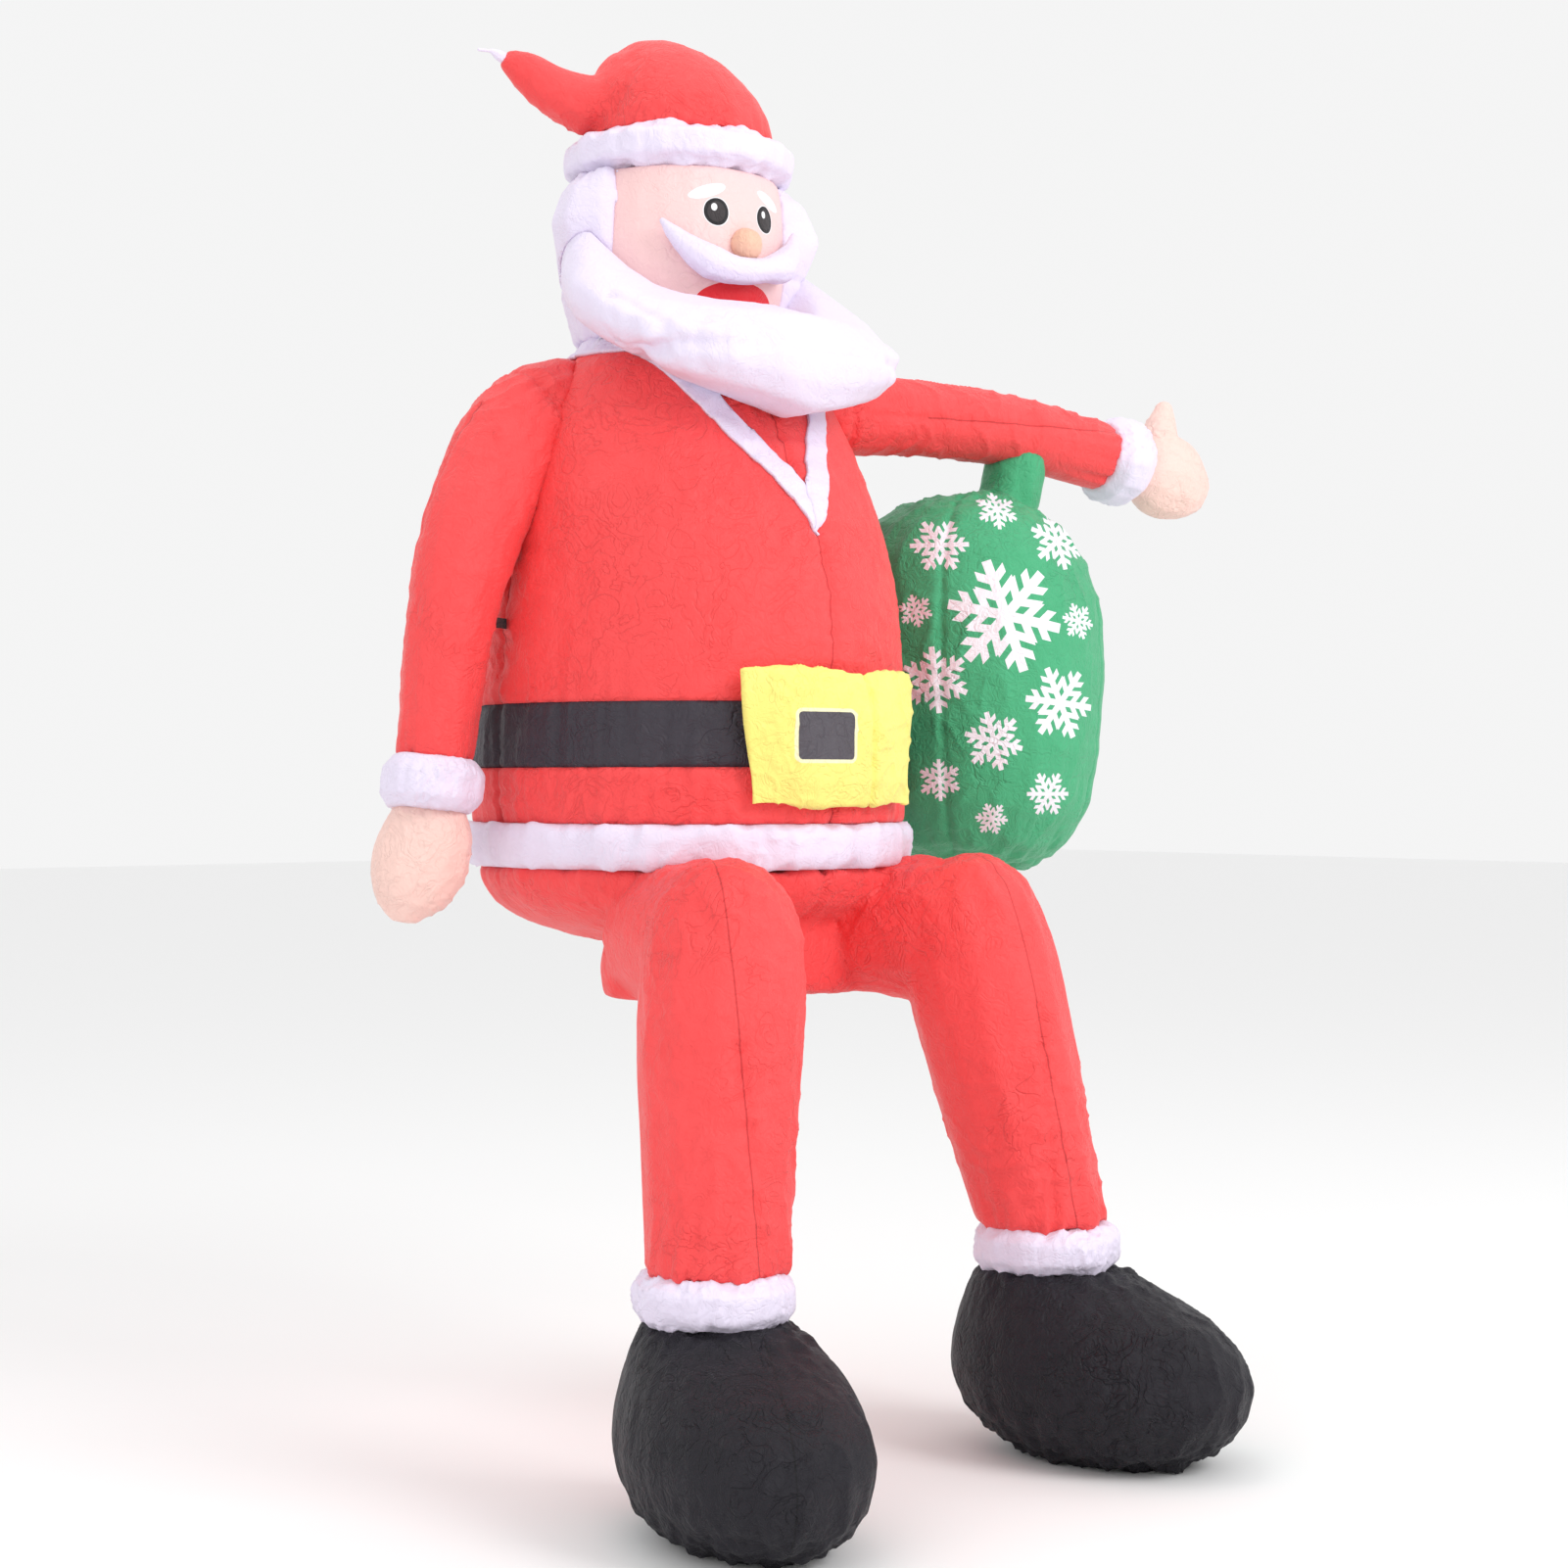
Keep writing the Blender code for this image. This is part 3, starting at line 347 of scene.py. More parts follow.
def paintSack(tree, place, colour):
    print("sack print,", len(sackPrint["flakes"]), "snowflakes")
    turned = tree.nodes.new("ShaderNodeVectorRotate")
    turned.rotation_type = "Z_AXIS"
    turned.inputs["Angle"].default_value = sackPrint["turn"]
    tree.links.new(place, turned.inputs["Vector"])
    split = tree.nodes.new("ShaderNodeSeparateXYZ")
    tree.links.new(turned.outputs[0], split.inputs[0])
    front = calc(tree, "LESS_THAN", split.outputs[1], sackPrint["behind"])
    for middleX, middleZ, reach, turn in sackPrint["flakes"]:
        size = {"Reach": reach, "Turn": turn}
        flake = useGroup(tree, "flake", turned.outputs[0], Middle_X=middleX, Middle_Z=middleZ, **size)
        mask = calc(tree, "MULTIPLY", flake["Mask"], front)
        colour = mixColour(tree, mask, colour, sackPrint["paint"])
    return colour


# Painted shade along the seam grooves: a point on each line, the way across it, and the side of that point
# it is drawn on

shadedSeamLines = {
    "coat": (
        ((0, 0, 0), (1, 0, 0), (0, -1, 0)),
        ((0, 0.162, 0), (0.158, -0.987, 0), (1, 0, 0)),
        ((0, 0.162, 0), (-0.158, -0.987, 0), (-1, 0, 0)),
    ),
    "sleeves": (
        ((-0.40, 0.21, 0.72), (0.346, 0.938, 0), (-1, 0, 0)),
        ((0.60, 0.06, 1.02), (0, 0.1, 0.995), (0.3, -1, 0)),
    ),
    "trousers": (
        ((0, 0, 0), (1, 0, 0), (0, -0.5, -0.8)),
        ((-0.31, -0.36, -0.2), (0.883, -0.470, 0.06), (-0.47, -0.88, 0.15)),
        ((0.33, -0.36, -0.2), (0.95, -0.25, 0.17), (-0.25, -0.95, 0.15)),
    ),
    "boots": (
        ((-0.32, -0.40, -0.6), (0.883, -0.470, 0), (-0.47, -0.88, 0)),
        ((0.40, -0.40, -0.6), (0.883, -0.470, 0), (-0.47, -0.88, 0)),
    ),
}


# Paints the seam-groove shade lines darker over the cloth colour
def paintSeamShade(lines, grooveShade):
    def paint(tree, place, colour):
        for at, across, side in shadedSeamLines[lines]:
            line = useGroup(tree, "seamShadeLine", place, At=at, Across=across, Side=side)
            mask = calc(tree, "MULTIPLY", line["Mask"], seamShading["strength"])
            colour = mixColour(tree, mask, colour, grooveShade)
        return colour
    return paint


redCloth = ((0.97, 0.088, 0.090), (0.90, 0.054, 0.056))
# Painted shade colours for the seam grooves on the red and the black cloth
seamShadeRed = (0.42, 0.010, 0.014)
seamShadeBlack = (0.002, 0.002, 0.003)
# The coat, sleeve, trouser and boot cloths carry the painted seam-groove shade
cloths = {
    "red": clothMaterial("redTaffeta", *redCloth),
    "coat": clothMaterial("coatTaffeta", *redCloth, paintSeamShade("coat", seamShadeRed)),
    "sleeve": clothMaterial("sleeveTaffeta", *redCloth, paintSeamShade("sleeves", seamShadeRed)),
    "trousers": clothMaterial("trouserTaffeta", *redCloth, paintSeamShade("trousers", seamShadeRed)),
    "white": clothMaterial("whiteTaffeta", (0.835, 0.765, 0.915), (0.77, 0.70, 0.865), bump=0.28),
    "face": clothMaterial("faceTaffeta", (0.96, 0.665, 0.65), (0.90, 0.58, 0.56), paintFace, bump=0.3),
    "hand": clothMaterial("handTaffeta", (0.96, 0.68, 0.61), (0.90, 0.60, 0.53), bump=0.4),
    "nose": clothMaterial("noseTaffeta", (0.90, 0.56, 0.41), (0.84, 0.48, 0.34), bump=0.3),
    "charcoal": clothMaterial("beltTaffeta", (0.046, 0.038, 0.052), (0.030, 0.025, 0.035), sheen=0.03),
    "boot": clothMaterial("bootTaffeta", (0.014, 0.012, 0.019), (0.009, 0.008, 0.012),
                          paintSeamShade("boots", seamShadeBlack), bump=0.7, sheen=0.02, gloss=0.28),
    "yellow": clothMaterial("buckleTaffeta", (0.97, 0.90, 0.26), (0.90, 0.80, 0.18), paintBuckle, bump=0.4),
    "green": clothMaterial("sackTaffeta", (0.070, 0.47, 0.225), (0.046, 0.35, 0.155), paintSack),
    "strap": clothMaterial("strapWebbing", (0.035, 0.032, 0.035), (0.02, 0.018, 0.02), bump=1.0),
}
print("materials made")


# Wrinkles: every inflated piece is a fine mesh whose points are moved along their normals

wrinkling = {
    "rimWithin": 0.002, "seamReaches": 3.2,  # how near to an edge or a seam counts
    "patchMiddle": 0.45, "patchSwing": 1.6, "patchSpan": 1.7,  # the creases come in patches
    "foldSpan": 0.36, "foldSharpness": 7, "foldMean": 0.2,
    "finePuckers": 2.3, "fineShare": 0.5,
}


def crumple(piece, soft, crease, span, seams=(), swell=0.0, seed=0.0, stretch=(1, 1, 1), ends=()):
    mesh = piece.data
    count = len(mesh.vertices)
    stretch = np.array(stretch)
    points = np.empty(count * 3)
    normals = np.empty(count * 3)
    mesh.vertices.foreach_get("co", points)
    mesh.vertices.foreach_get("normal", normals)
    points = points.reshape(-1, 3)
    normals = normals.reshape(-1, 3)
    for height in ends:  # a sewn edge moves in and out, never up
        rim = np.abs(points[:, 2] - height) < wrinkling["rimWithin"]
        normals[rim, 2] = 0
        normals[rim] /= np.linalg.norm(normals[rim], axis=1, keepdims=True)
    moved = np.full(count, swell)
    shift = Vector((seed, seed * 1.7, seed * 0.6))
    for i, point in enumerate(points):
        place = Vector(point * stretch)
        bend = noise.noise(place / span + shift)
        patchy = noise.noise(place / (span * wrinkling["patchSpan"]) - shift)
        patchy = min(max(wrinkling["patchMiddle"] + wrinkling["patchSwing"] * patchy, 0.0), 1.0)
        bent = place / (span * wrinkling["foldSpan"]) + shift * 2 + Vector((bend, -bend, bend))
        fold = 1 - abs(noise.noise(bent))
        fold = fold ** wrinkling["foldSharpness"] - wrinkling["foldMean"]
        moved[i] += soft * bend + crease * patchy * fold
    for seam in seams:
        at = np.array(seam["at"])
        across = np.array(seam["across"], float)
        across /= np.linalg.norm(across)
        away = (points - at) @ across
        far = np.abs(away)
        near = far < wrinkling["seamReaches"] * seam["reach"]
        if "side" in seam:
            near &= (points - at) @ np.array(seam["side"]) > 0
        flat = points - away[:, None] * across
        for i in np.nonzero(near)[0]:
            place = Vector(flat[i]) * seam["rhythm"]
            pucker = noise.noise(place + shift)
            pucker += wrinkling["fineShare"] * noise.noise(place * wrinkling["finePuckers"] + shift)
            fade = math.exp(-far[i] / seam["reach"])
            moved[i] += seam["depth"] * fade * pucker
            moved[i] -= seam["groove"] * math.exp(-(far[i] / seam["width"]) ** 2)
    points += normals * moved[:, None]
    mesh.vertices.foreach_set("co", points.ravel())
    mesh.update()


def seam(at, across, stitch, side=None):
    reach, depth, groove, width, rhythm = stitch  # lengths in metres, rhythm in puckers per metre
    made = {"at": at, "across": across, "reach": reach, "depth": depth}
    made.update(groove=groove, width=width, rhythm=rhythm)
    if side is not None:
        made["side"] = side
    return made


def clothFrom(node, cell, soften):
    piece = bpy.data.objects.new(node + "_cloth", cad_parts[node].data.copy())
    scene.collection.objects.link(piece)
    pick(piece)
    bpy.ops.object.mode_set(mode="EDIT")
    bpy.ops.mesh.select_all(action="SELECT")
    bpy.ops.mesh.remove_doubles(threshold=0.0001)
    bpy.ops.mesh.normals_make_consistent(inside=False)
    bpy.ops.object.mode_set(mode="OBJECT")
    applyModifier(piece, "REMESH", mode="VOXEL", voxel_size=cell)
    applyModifier(piece, "SMOOTH", factor=0.5, iterations=soften)
    return piece


# The coat, belt and hem: rings drawn up round the torso

torso = {
    "bottom": 34.6, "top": 77.6, "halfWidth": 15.0, "halfDepth": 16.1, "axisY": 6.6 * share,
    "sides": 360, "inset": 0.002, "clearance": 0.0003, "seed": 1.3,
    "outline": (  # share of the height, of the half width, of the half depth
        (0, 0.20, 0.20), (0.01, 0.43, 0.42), (0.05, 0.79, 0.79), (0.10, 0.95, 0.94), (0.17, 0.99, 0.98),
        (0.27, 1.0, 1.0), (0.36, 0.99, 1.0), (0.45, 0.98, 0.99), (0.56, 0.95, 0.975), (0.65, 0.92, 0.91),
        (0.75, 0.885, 0.77), (0.85, 0.825, 0.60), (0.93, 0.69, 0.51), (1, 0.465, 0.435),
    ),
    "panels": (  # node, bottom, top, rows, puff, boxiness of the puff, cloth, slot
        ("coat_body", 51.5, 77.6, 84, 0.006, 6.0, "coat", "red_cloth"),
        ("belt", 47.1, 51.5, 18, 0.004, 6.0, "charcoal", "black_cloth"),
        ("coat_skirt", 43.3, 47.1, 16, 0.004, 6.0, "coat", "red_cloth"),
        ("coat_hem", 40.2, 43.3, 22, 0.022, 2.6, "white", "white_cloth"),
    ),
    "wrinkles": {"soft": 0.004, "crease": 0.005, "span": 0.15},
    "hemWrinkles": {"soft": 0.005, "crease": 0.004, "span": 0.10},
    "edgeStitch": (0.07, 0.007, 0.0, 0.008, 44.0), "frontStitch": (0.05, 0.009, 0.007, 0.008, 38.0),
    "sideStitch": (0.05, 0.009, 0.007, 0.008, 36.0), "hemStitch": (0.03, 0.012, 0.0, 0.01, 21.0),
    "sideLean": 0.16,
}


def torsoSize(height):
    at = (height - torso["bottom"]) / (torso["top"] - torso["bottom"])
    rows = torso["outline"]
    low = max(i for i in range(len(rows) - 1) if i == 0 or rows[i][0] <= at)
    span = rows[low + 1][0] - rows[low][0]
    t = min(max((at - rows[low][0]) / span, 0), 1)
    sizes = []
    for column in (1, 2):
        ends = [rows[min(max(low + k, 0), len(rows) - 1)] for k in (-1, 0, 1, 2)]
        leanIn = (ends[2][column] - ends[0][column]) / (ends[2][0] - ends[0][0]) * span
        leanOut = (ends[3][column] - ends[1][column]) / (ends[3][0] - ends[1][0]) * span
        start, end = ends[1][column], ends[2][column]
        value = (2 * t**3 - 3 * t**2 + 1) * start + (t**3 - 2 * t**2 + t) * leanIn
        sizes.append(value + (3 * t**2 - 2 * t**3) * end + (t**3 - t**2) * leanOut)
    return sizes[0] * torso["halfWidth"] * share, sizes[1] * torso["halfDepth"] * share


def torsoPanel(node, bottom, top, rows, puff, boxy):
    axisY = torso["axisY"]
    start = level(bottom) + torso["clearance"]
    at = (0, axisY, start)
    bpy.ops.mesh.primitive_circle_add(vertices=torso["sides"], radius=1, fill_type="NGON", location=at)
    piece = bpy.context.object
    piece.name = node + "_cloth"
    bpy.ops.object.transform_apply(location=True, rotation=True, scale=True)
    bpy.ops.object.mode_set(mode="EDIT")
    bpy.ops.mesh.select_all(action="SELECT")
    before = (1.0, 1.0)
    last = start
    for i in range(rows + 1):
        height = bottom + (top - bottom) * i / rows
        wide, deep = torsoSize(height)
        swell = puff * math.sqrt(max(0.0, 1 - abs(2 * i / rows - 1) ** boxy)) - torso["inset"]
        size = (wide + swell, deep + swell)
        if i > 0:
            rise = level(height) - last
            bpy.ops.mesh.extrude_region_move(TRANSFORM_OT_translate={"value": (0, 0, rise)})
            last += rise
        ratio = (size[0] / before[0], size[1] / before[1], 1)
        bpy.ops.transform.resize(value=ratio, center_override=(0, axisY, last))
        before = size
    bpy.ops.mesh.select_all(action="SELECT")
    bpy.ops.mesh.normals_make_consistent(inside=False)
    bpy.ops.object.mode_set(mode="OBJECT")
    return piece


def torsoSeams(bottom, top):
    middle = (0, torso["axisY"], 0)
    made = [seam((0, 0, level(height)), (0, 0, 1), torso["edgeStitch"]) for height in (bottom, top)]
    made.append(seam(middle, (1, 0, 0), torso["frontStitch"], (0, -1, 0)))
    for sign in (-1, 1):  # side seams, a little behind the widest line
        across = (torso["sideLean"] * sign, -1, 0)
        made.append(seam(middle, across, torso["sideStitch"], (sign, 0, 0)))
    return made


def makeCoat():
    for node, bottom, top, rows, puff, boxy, cloth, slot in torso["panels"]:
        piece = torsoPanel(node, bottom, top, rows, puff, boxy)
        edges = (level(bottom), level(top))
        if node == "coat_hem":
            rims = [seam((0, 0, z), (0, 0, 1), torso["hemStitch"]) for z in edges]
            crumple(piece, seams=rims, seed=torso["seed"], ends=edges, **torso["hemWrinkles"])
        else:
            rims = torsoSeams(bottom, top)
            crumple(piece, seams=rims, seed=torso["seed"], ends=edges, **torso["wrinkles"])
        wear(piece, cloths[cloth], [node])
        print("coat:", node, len(piece.data.vertices), "points")


# The collar: two strips down the V and a ring at the neck, cut out of copies of the coat

collar = {
    "tip": level(62.8), "ring": level(75.85), "top": level(77.5),
    "run": 0.1816, "rise": 0.2921, "lift": 0.084, "thick": 0.006,
}


def cutPlane(at, normal, front):
    bpy.ops.mesh.select_all(action="SELECT")
    bpy.ops.mesh.bisect(plane_co=at, plane_no=normal, clear_inner=front, clear_outer=not front)


def makeCollar():
    coat = bpy.data.objects["coat_body_cloth"]
    strips = []
    for side in (-1, 1, 0):
        strip = coat.copy()
        strip.data = coat.data.copy()
        for key in list(strip.keys()):
            del strip[key]
        strip.name = "collar_strip"
        scene.collection.objects.link(strip)
        pick(strip)
        bpy.ops.object.mode_set(mode="EDIT")
        cutPlane((0, 0, collar["top"]), (0, 0, 1), False)
        if side == 0:
            cutPlane((0, 0, collar["ring"]), (0, 0, 1), True)
        else:
            line = Vector((collar["rise"] * side, 0, -collar["run"])).normalized()
            cutPlane((0, torso["axisY"], 0), (0, -1, 0), True)
            cutPlane((0, 0, 0), (side, 0, 0), True)
            cutPlane((0, 0, collar["tip"]), line, False)
            cutPlane((0, 0, collar["tip"] + collar["lift"]), line, True)
        bpy.ops.object.mode_set(mode="OBJECT")
        strips.append(strip)
    pick(strips[0])
    for strip in strips[1:]:
        strip.select_set(True)
    bpy.ops.object.join()
    made = bpy.context.object
    made.name = "collar_cloth"
    applyModifier(made, "SOLIDIFY", thickness=collar["thick"], offset=1.0)
    wear(made, cloths["white"], ["collar"])
    print("collar:", len(made.data.vertices), "points")


buckle = {
    "cell": 0.0035, "soften": 8, "foldX": 0.075, "cornerIn": 0.022,
    "bottom": level(44.6), "top": level(53.7),
    "wrinkles": {"soft": 0.010, "crease": 0.005, "span": 0.12, "seed": 4.4},
    "edgeStitch": (0.035, 0.006, 0.0, 0.01, 13.0), "foldStitch": (0.02, 0.002, 0.008, 0.006, 14.0),
}


def makeBuckle():
    made = clothFrom("buckle", buckle["cell"], buckle["soften"])
    seams = [seam((0, 0, buckle[edge]), (0, 0, 1), buckle["edgeStitch"]) for edge in ("top", "bottom")]
    seams.append(seam((buckle["foldX"], 0, 0), (1, 0, 0.05), buckle["foldStitch"], (0, -1, 0)))
    crumple(made, seams=seams, **buckle["wrinkles"])
    low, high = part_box("buckle")
    for point in made.data.vertices:  # its lower right corner is drawn in
        along = (high.x - point.co.x) / (high.x - low.x)
        down = (high.z - point.co.z) / (high.z - low.z)
        point.co.x += buckle["cornerIn"] * max(along, 0) ** 2 * max(down, 0)
    wear(made, cloths["yellow"], ["buckle"])
    print("buckle:", len(made.data.vertices), "points")


# Everything else starts as its solid, remeshed finely and softened

def makeSoft(node, cloth, slot, cell, soften, **wrinkles):
    piece = clothFrom(node, cell, soften)
    crumple(piece, **wrinkles)
    wear(piece, cloths[cloth], [node])
    print(node, len(piece.data.vertices), "points")
    return piece


def endSeams(node, stitch):
    low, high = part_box(node)
    return [seam((0, 0, z), (0, 0, 1), stitch) for z in (low.z, high.z)]


head = {
    "hairSeam": level(83.2), "chinAbove": 0.085, "beardSides": 0.17,
    "moustacheLift": 0.005, "moustacheTilt": 0.011, "moustacheSpan": 0.09,
    "head": {"cell": 0.0055, "soften": 18, "soft": 0.002, "crease": 0.0012, "span": 0.10, "swell": 0.0015},
    "hair": {
        "cell": 0.0045, "soften": 18,
        "soft": 0.005, "crease": 0.002, "span": 0.12, "swell": 0.002, "seed": 5.2,
    },
    "beard": {
        "cell": 0.005, "soften": 28,
        "soft": 0.009, "crease": 0.002, "span": 0.20, "swell": 0.003, "seed": 2.2,
    },
    "moustache": {"cell": 0.0029, "soften": 8, "soft": 0.003, "crease": 0.0015, "span": 0.06, "seed": 6.0},
    "nose": {"cell": 0.0015, "soften": 10, "soft": 0.0015, "crease": 0.001, "span": 0.03},
    "hairStitch": (0.02, 0.004, 0.006, 0.007, 40.0), "hairEndStitch": (0.03, 0.006, 0.0, 0.01, 40.0),
    "chinStitch": (0.05, 0.007, 0.010, 0.012, 22.0), "beardStitch": (0.04, 0.005, 0.006, 0.008, 24.0),
}


def makeHead():
    makeSoft("head", "face", "skin_cloth", **head["head"])
    sewn = [seam((0, 0, head["hairSeam"]), (0.0, 0.15, 1), head["hairStitch"])]
    sewn += endSeams("hair", head["hairEndStitch"])
    makeSoft("hair", "white", "white_cloth", seams=sewn, **head["hair"])
    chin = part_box("beard")[0].z + head["chinAbove"]
    folds = [seam((0, 0, chin), (0, 0.10, 1), head["chinStitch"])]
    for sign in (-1, 1):
        at = (sign * head["beardSides"], 0, 0)
        folds.append(seam(at, (1, -0.25 * sign, -0.1 * sign), head["beardStitch"], (0, -1, 0)))
    makeSoft("beard", "white", "white_cloth", seams=folds, **head["beard"])
    moustache = makeSoft("moustache", "white", "white_cloth", **head["moustache"])
    for point in moustache.data.vertices:  # its left half sits higher than its right
        along = min(max(0.5 + point.co.x / head["moustacheSpan"], 0), 1)
        point.co.z += head["moustacheLift"] + head["moustacheTilt"] * along
    makeSoft("nose", "nose", "nose_cloth", **head["nose"])


hat = {
    "tailSeam": (-0.135, 0.23, 1.56),
    "band": {
        "cell": 0.004, "soften": 14,
        "soft": 0.005, "crease": 0.0025, "span": 0.09, "swell": 0.002, "seed": 8.0,
    },
    "crown": {
        "cell": 0.0045, "soften": 16,
        "soft": 0.004, "crease": 0.003, "span": 0.11, "swell": 0.002, "seed": 7.0,
    },
    "tip": {"cell": 0.0012, "soften": 2, "soft": 0.0006, "crease": 0.0004, "span": 0.02},
    "bandStitch": (0.024, 0.011, 0.0, 0.01, 26.0), "crownStitch": (0.04, 0.006, 0.0, 0.01, 36.0),
    "tailStitch": (0.02, 0.004, 0.007, 0.010, 30.0),
}


def makeHat():
    rims = endSeams("hat_band", hat["bandStitch"])
    makeSoft("hat_band", "white", "white_cloth", seams=rims, **hat["band"])
    sewn = [
        seam((0, 0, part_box("hat_band")[1].z), (0, 0, 1), hat["crownStitch"]),
        seam(hat["tailSeam"], (0.93, -0.2, -0.35), hat["tailStitch"]),
    ]
    makeSoft("hat_crown", "red", "red_cloth", seams=sewn, **hat["crown"])
    makeSoft("hat_tip", "white", "white_cloth", **hat["tip"])


arms = {
    "armhole": {"right": (-0.30, 0.21, 0.98), "left": (0.29, 0.10, 1.02)},
    "outerSeam": {"right": (-0.40, 0.21, 0.72), "left": (0.60, 0.06, 1.02)},
    "along": {"right": (0.13, 0, 1), "left": (1, -0.16, -0.2)},
    "seed": {"right": 9.0, "left": 11.0},
    "wristStitch": {"right": (0.06, 0.008, 0.0, 0.01, 50.0), "left": (0.07, 0.008, 0.0, 0.01, 50.0)},
    "armholeStitch": {
        "right": (0.05, 0.006, 0.005, 0.008, 40.0), "left": (0.05, 0.006, 0.007, 0.009, 40.0),
    },
    "outerStitch": {
        "right": (0.03, 0.004, 0.004, 0.006, 30.0), "left": (0.025, 0.004, 0.003, 0.006, 26.0),
    },
    "cuffStitch": (0.02, 0.004, 0.0, 0.01, 44.0),
    "sleeve": {"cell": 0.005, "soften": 22, "soft": 0.006, "crease": 0.0045, "span": 0.14, "swell": 0.004},
    "cuff": {
        "cell": 0.0035, "soften": 8,
        "soft": 0.004, "crease": 0.004, "span": 0.05, "swell": 0.002, "seed": 12.0,
    },
    "mitten": {
        "cell": 0.0035, "soften": 14,
        "soft": 0.004, "crease": 0.003, "span": 0.07, "swell": 0.002, "seed": 13.0,
    },
}


def makeArms():
    for side in ("right", "left"):
        cuff = "cuff_" + side
        cuffLow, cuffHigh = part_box(cuff)
        middle = (cuffLow + cuffHigh) / 2
        if side == "right":
            wrist = (middle.x, middle.y, cuffHigh.z)
            ways = ((0.05, 0, 1), (0.8, 0, 0.35), (0.35, 0.95, 0))
            outward = (-1, 0, 0)
        else:
            wrist = (cuffLow.x, middle.y, middle.z)
            ways = ((1, -0.16, -0.1), (1, -0.1, 0.1), (0, 0.1, 1))
            outward = (0, -1, 0)
        sewn = [
            seam(wrist, ways[0], arms["wristStitch"][side]),
            seam(arms["armhole"][side], ways[1], arms["armholeStitch"][side]),
            seam(arms["outerSeam"][side], ways[2], arms["outerStitch"][side], outward),
        ]
        seed = arms["seed"][side]
        makeSoft("sleeve_" + side, "sleeve", "red_cloth", seams=sewn, seed=seed, **arms["sleeve"])
        rims = [seam(tuple(middle), arms["along"][side], arms["cuffStitch"])]
        makeSoft(cuff, "white", "white_cloth", seams=rims, **arms["cuff"])
        makeSoft("mitten_" + side, "hand", "skin_cloth", **arms["mitten"])


legs = {
    "ankle": (0.30, -0.33, -0.386), "shin": (0.32, -0.36, -0.2), "knee": (0.28, -0.30, 0.09),
    "hem": level(40.2), "crotch": (0, 0, 0.1), "gatherAbove": 0.01,
    "ankleStitch": (0.05, 0.005, 0.0, 0.01, 46.0), "shinStitch": (0.04, 0.007, 0.005, 0.008, 40.0),
    "kneeStitch": (0.05, 0.004, 0.0, 0.01, 22.0), "hemStitch": (0.05, 0.007, 0.0, 0.01, 34.0),
    "crotchStitch": (0.03, 0.005, 0.006, 0.008, 30.0), "cuffStitch": (0.025, 0.008, 0.0, 0.01, 40.0),
    "soleStitch": (0.07, 0.014, 0.0, 0.01, 44.0), "bootTopStitch": (0.05, 0.007, 0.0, 0.01, 42.0),
    "trousers": {
        "cell": 0.0066, "soften": 22,
        "soft": 0.0035, "crease": 0.004, "span": 0.14, "swell": 0.004, "seed": 14.0,
    },
    "cuff": {
        "cell": 0.004, "soften": 10,
        "soft": 0.005, "crease": 0.004, "span": 0.06, "swell": 0.002, "seed": 15.0,
    },
    "boot": {
        "cell": 0.006, "soften": 22,
        "soft": 0.005, "crease": 0.004, "span": 0.14, "swell": 0.003, "seed": 16.0,
        "stretch": (1, 1, 0.5),
    },
}


def makeLegs():
    sewn = []
    for sign in (-1, 1):
        ankle, shin, knee = ((sign * legs[at][0], *legs[at][1:]) for at in ("ankle", "shin", "knee"))
        sewn += [
            seam(ankle, (0, 0, 1), legs["ankleStitch"], (0, -1, 0)),
            seam(shin, (0.92, -0.36, 0.06), legs["shinStitch"], (-0.4, -0.9, -0.4)),
            seam(knee, (0, 0.75, 0.66), legs["kneeStitch"], (0, 0, 1)),
        ]
    sewn.append(seam((0, 0, legs["hem"]), (0, 0, 1), legs["hemStitch"]))
    sewn.append(seam(legs["crotch"], (1, 0, 0), legs["crotchStitch"]))
    makeSoft("trousers", "trousers", "red_cloth", seams=sewn, **legs["trousers"])
    for side in ("right", "left"):
        rims = endSeams("leg_cuff_" + side, legs["cuffStitch"])
        makeSoft("leg_cuff_" + side, "white", "white_cloth", seams=rims, **legs["cuff"])
        low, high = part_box("boot_" + side)
        gathers = [
            seam((0, 0, low.z + legs["gatherAbove"]), (0, 0, 1), legs["soleStitch"]),
            seam((0, 0, high.z), (0, 0, 1), legs["bootTopStitch"]),
        ]
        boot = makeSoft("boot_" + side, "boot", "boot_cloth", seams=gathers, **legs["boot"])
        for point in boot.data.vertices:  # flat under the sole
            point.co.z = max(point.co.z, low.z)


sack = {
    "middle": (0.60, 0.06), "neck": (0.62, 0.06, level(67.3)), "seamHeight": 0.6,
    "bottomStitch": (0.08, 0.011, 0.0, 0.01, 30.0), "neckStitch": (0.05, 0.010, 0.006, 0.012, 34.0),
    "panelStitch": (0.035, 0.005, 0.005, 0.007, 28.0),
    "cloth": {
        "cell": 0.0058, "soften": 24,
        "soft": 0.006, "crease": 0.0035, "span": 0.15, "swell": 0.004, "seed": 17.0,
        "stretch": (1, 1, 0.6),
    },
}


def makeSack():
    bottom = (*sack["middle"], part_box("sack")[0].z)
    side = (*sack["middle"], sack["seamHeight"])
    sewn = [
        seam(bottom, (0, 0, 1), sack["bottomStitch"]),
        seam(sack["neck"], (0.1, 0, 1), sack["neckStitch"]),
        seam(side, (0.55, -0.84, 0), sack["panelStitch"], (-0.84, -0.55, 0)),
        seam(side, (0.84, 0.55, 0), sack["panelStitch"]),
    ]
    makeSoft("sack", "green", "green_cloth", seams=sewn, **sack["cloth"])


strap = {"turn": math.radians(28), "cuts": 12, "thick": 0.002}


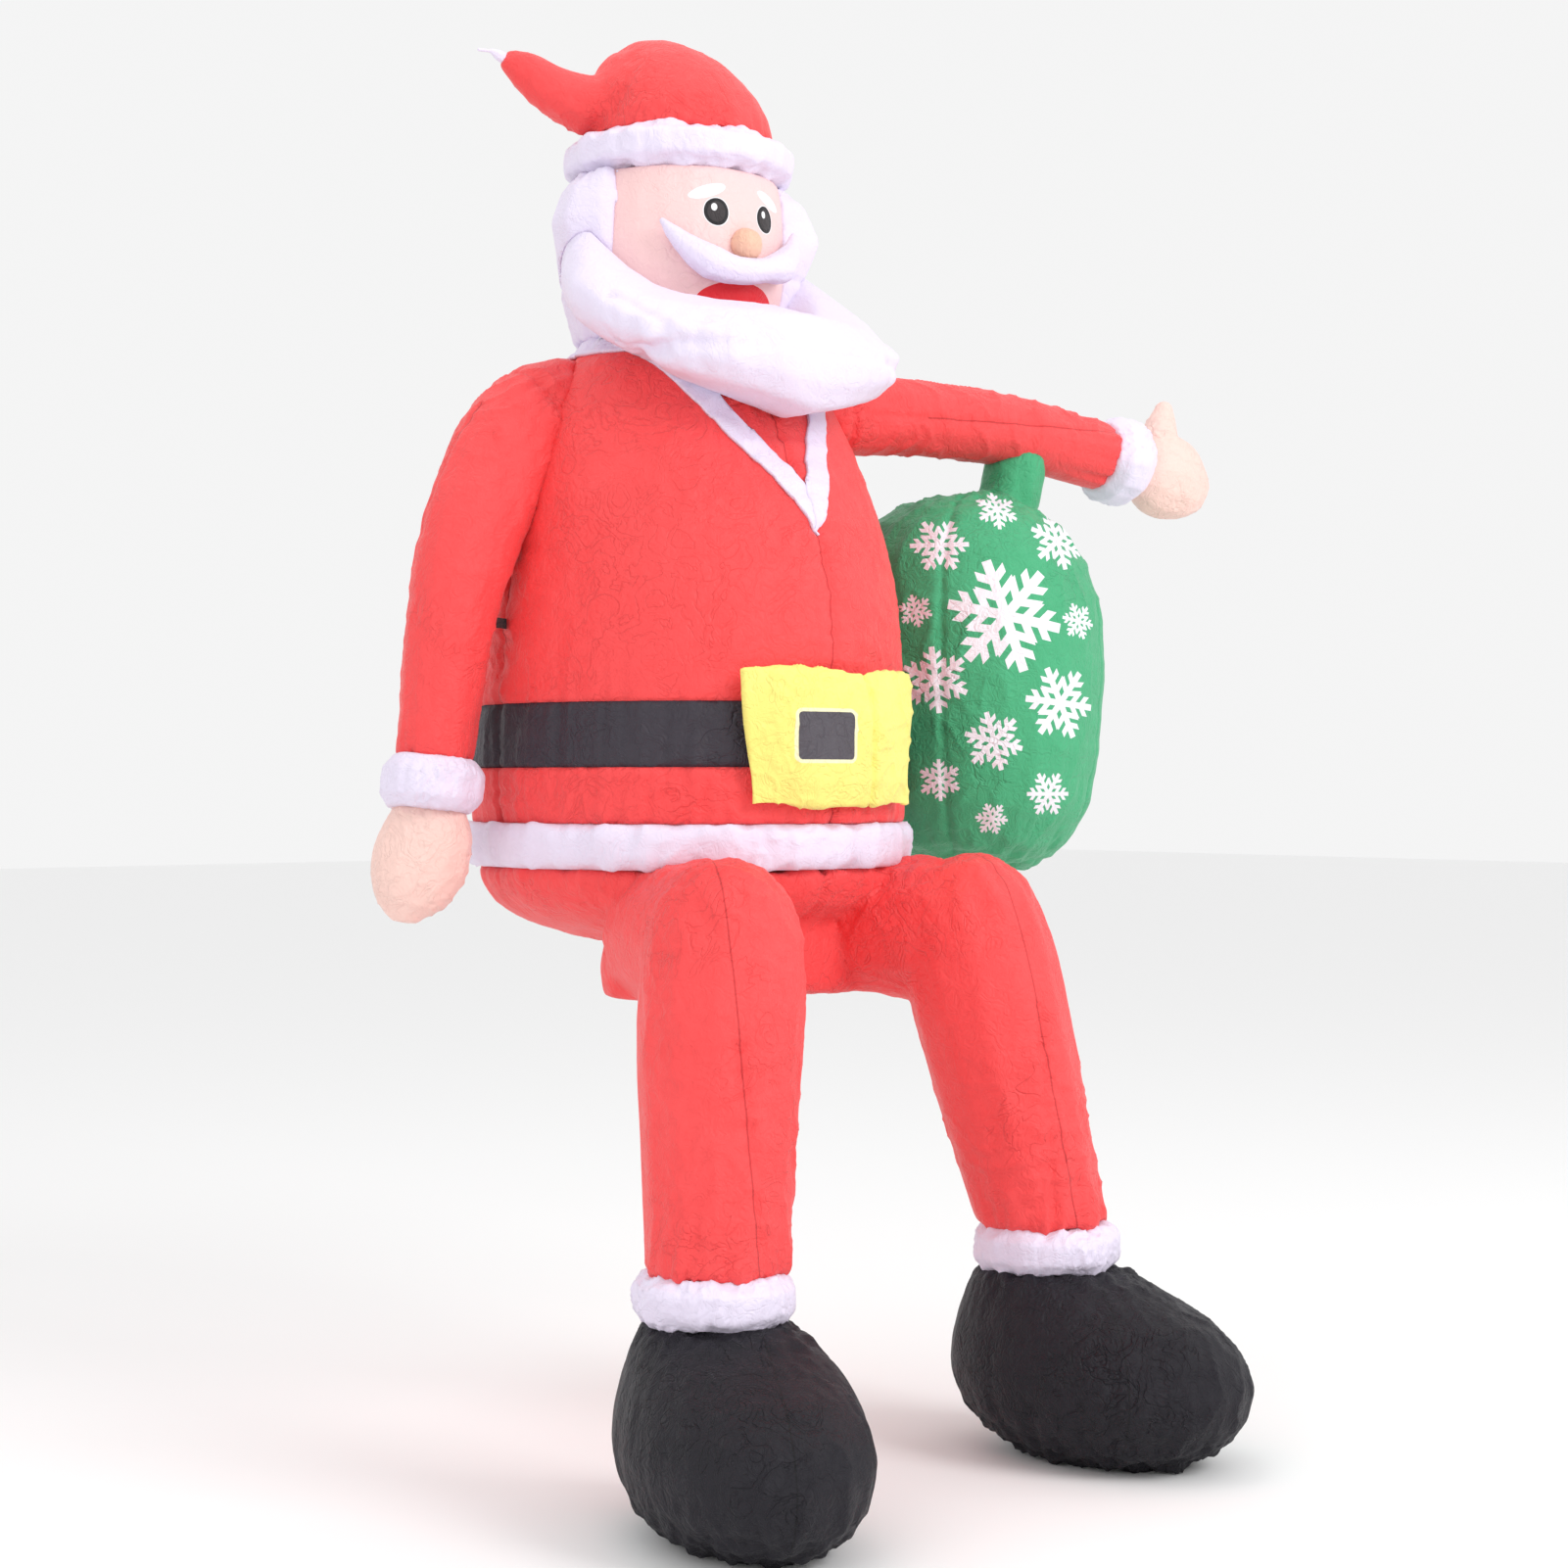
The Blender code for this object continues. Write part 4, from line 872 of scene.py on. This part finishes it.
def makeStrap():
    low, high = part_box("side_strap")
    bpy.ops.mesh.primitive_plane_add(size=1, location=(low + high) / 2)
    piece = bpy.context.object
    piece.name = "side_strap_cloth"
    piece.scale = (high.x - low.x, high.z - low.z, 1)
    piece.rotation_euler = (math.radians(90), 0, strap["turn"])
    bpy.ops.object.transform_apply(location=True, rotation=True, scale=True)
    bpy.ops.object.mode_set(mode="EDIT")
    bpy.ops.mesh.subdivide(number_cuts=strap["cuts"])
    bpy.ops.object.mode_set(mode="OBJECT")
    applyModifier(piece, "SOLIDIFY", thickness=strap["thick"], offset=0.0)
    wear(piece, cloths["strap"], ["side_strap"])
    print("strap made")


makeCoat()
makeCollar()
makeBuckle()
makeHead()
makeHat()
makeArms()
makeLegs()
makeSack()
makeStrap()


# Floor, light and camera

studio = {
    "floor": (0.93, 0.93, 0.93), "floorSize": 60, "floorRoughness": 0.9, "underSoles": 0.0005,
    "world": 0.91, "aim": (0, -0.1, 0.3),
    "lights": (  # name, place, size, watts
        ("keyLight", (1.6, -5.0, 3.4), 2.6, 142.0),
        ("fillLight", (-4.6, -1.8, 1.6), 3.0, 24.0),
        ("topLight", (-0.6, 0.4, 4.2), 2.4, 20.0),
    ),
}


def makeStudio():
    place = (0, 0, soleLevel - studio["underSoles"])
    bpy.ops.mesh.primitive_plane_add(size=studio["floorSize"], location=place)
    floor = bpy.context.object
    floor.name = "studio_floor"
    paper = bpy.data.materials.new("floorPaper")
    paper.use_nodes = True
    shader = paper.node_tree.nodes["Principled BSDF"]
    shader.inputs["Base Color"].default_value = (*studio["floor"], 1)
    shader.inputs["Roughness"].default_value = studio["floorRoughness"]
    floor.data.materials.append(paper)
    world = bpy.data.worlds.new("studioWorld")
    world.use_nodes = True
    sky = world.node_tree.nodes["Background"]
    sky.inputs["Color"].default_value = (1, 1, 1, 1)
    sky.inputs["Strength"].default_value = studio["world"]
    scene.world = world
    for name, place, size, power in studio["lights"]:
        bpy.ops.object.light_add(type="AREA", location=place)
        lamp = bpy.context.object
        lamp.name = name
        lamp.data.size = size
        lamp.data.energy = power
        aim = Vector(studio["aim"]) - Vector(place)
        lamp.rotation_euler = aim.to_track_quat("-Z", "Y").to_euler()


photoCamera = {"place": (-2.867, -3.520, 0.353), "turn": math.radians(-40), "sensor": 36, "lens": 60.49}


def makeCamera():
    camera = bpy.data.objects.new("photoCamera", bpy.data.cameras.new("photoCamera"))
    scene.collection.objects.link(camera)
    camera.location = photoCamera["place"]
    camera.rotation_euler = (math.radians(90), 0, photoCamera["turn"])
    camera.data.sensor_width = photoCamera["sensor"]
    camera.data.lens = photoCamera["lens"]
    scene.camera = camera


makeStudio()
makeCamera()
scene.view_settings.view_transform = "Standard"
print("studio and camera set")
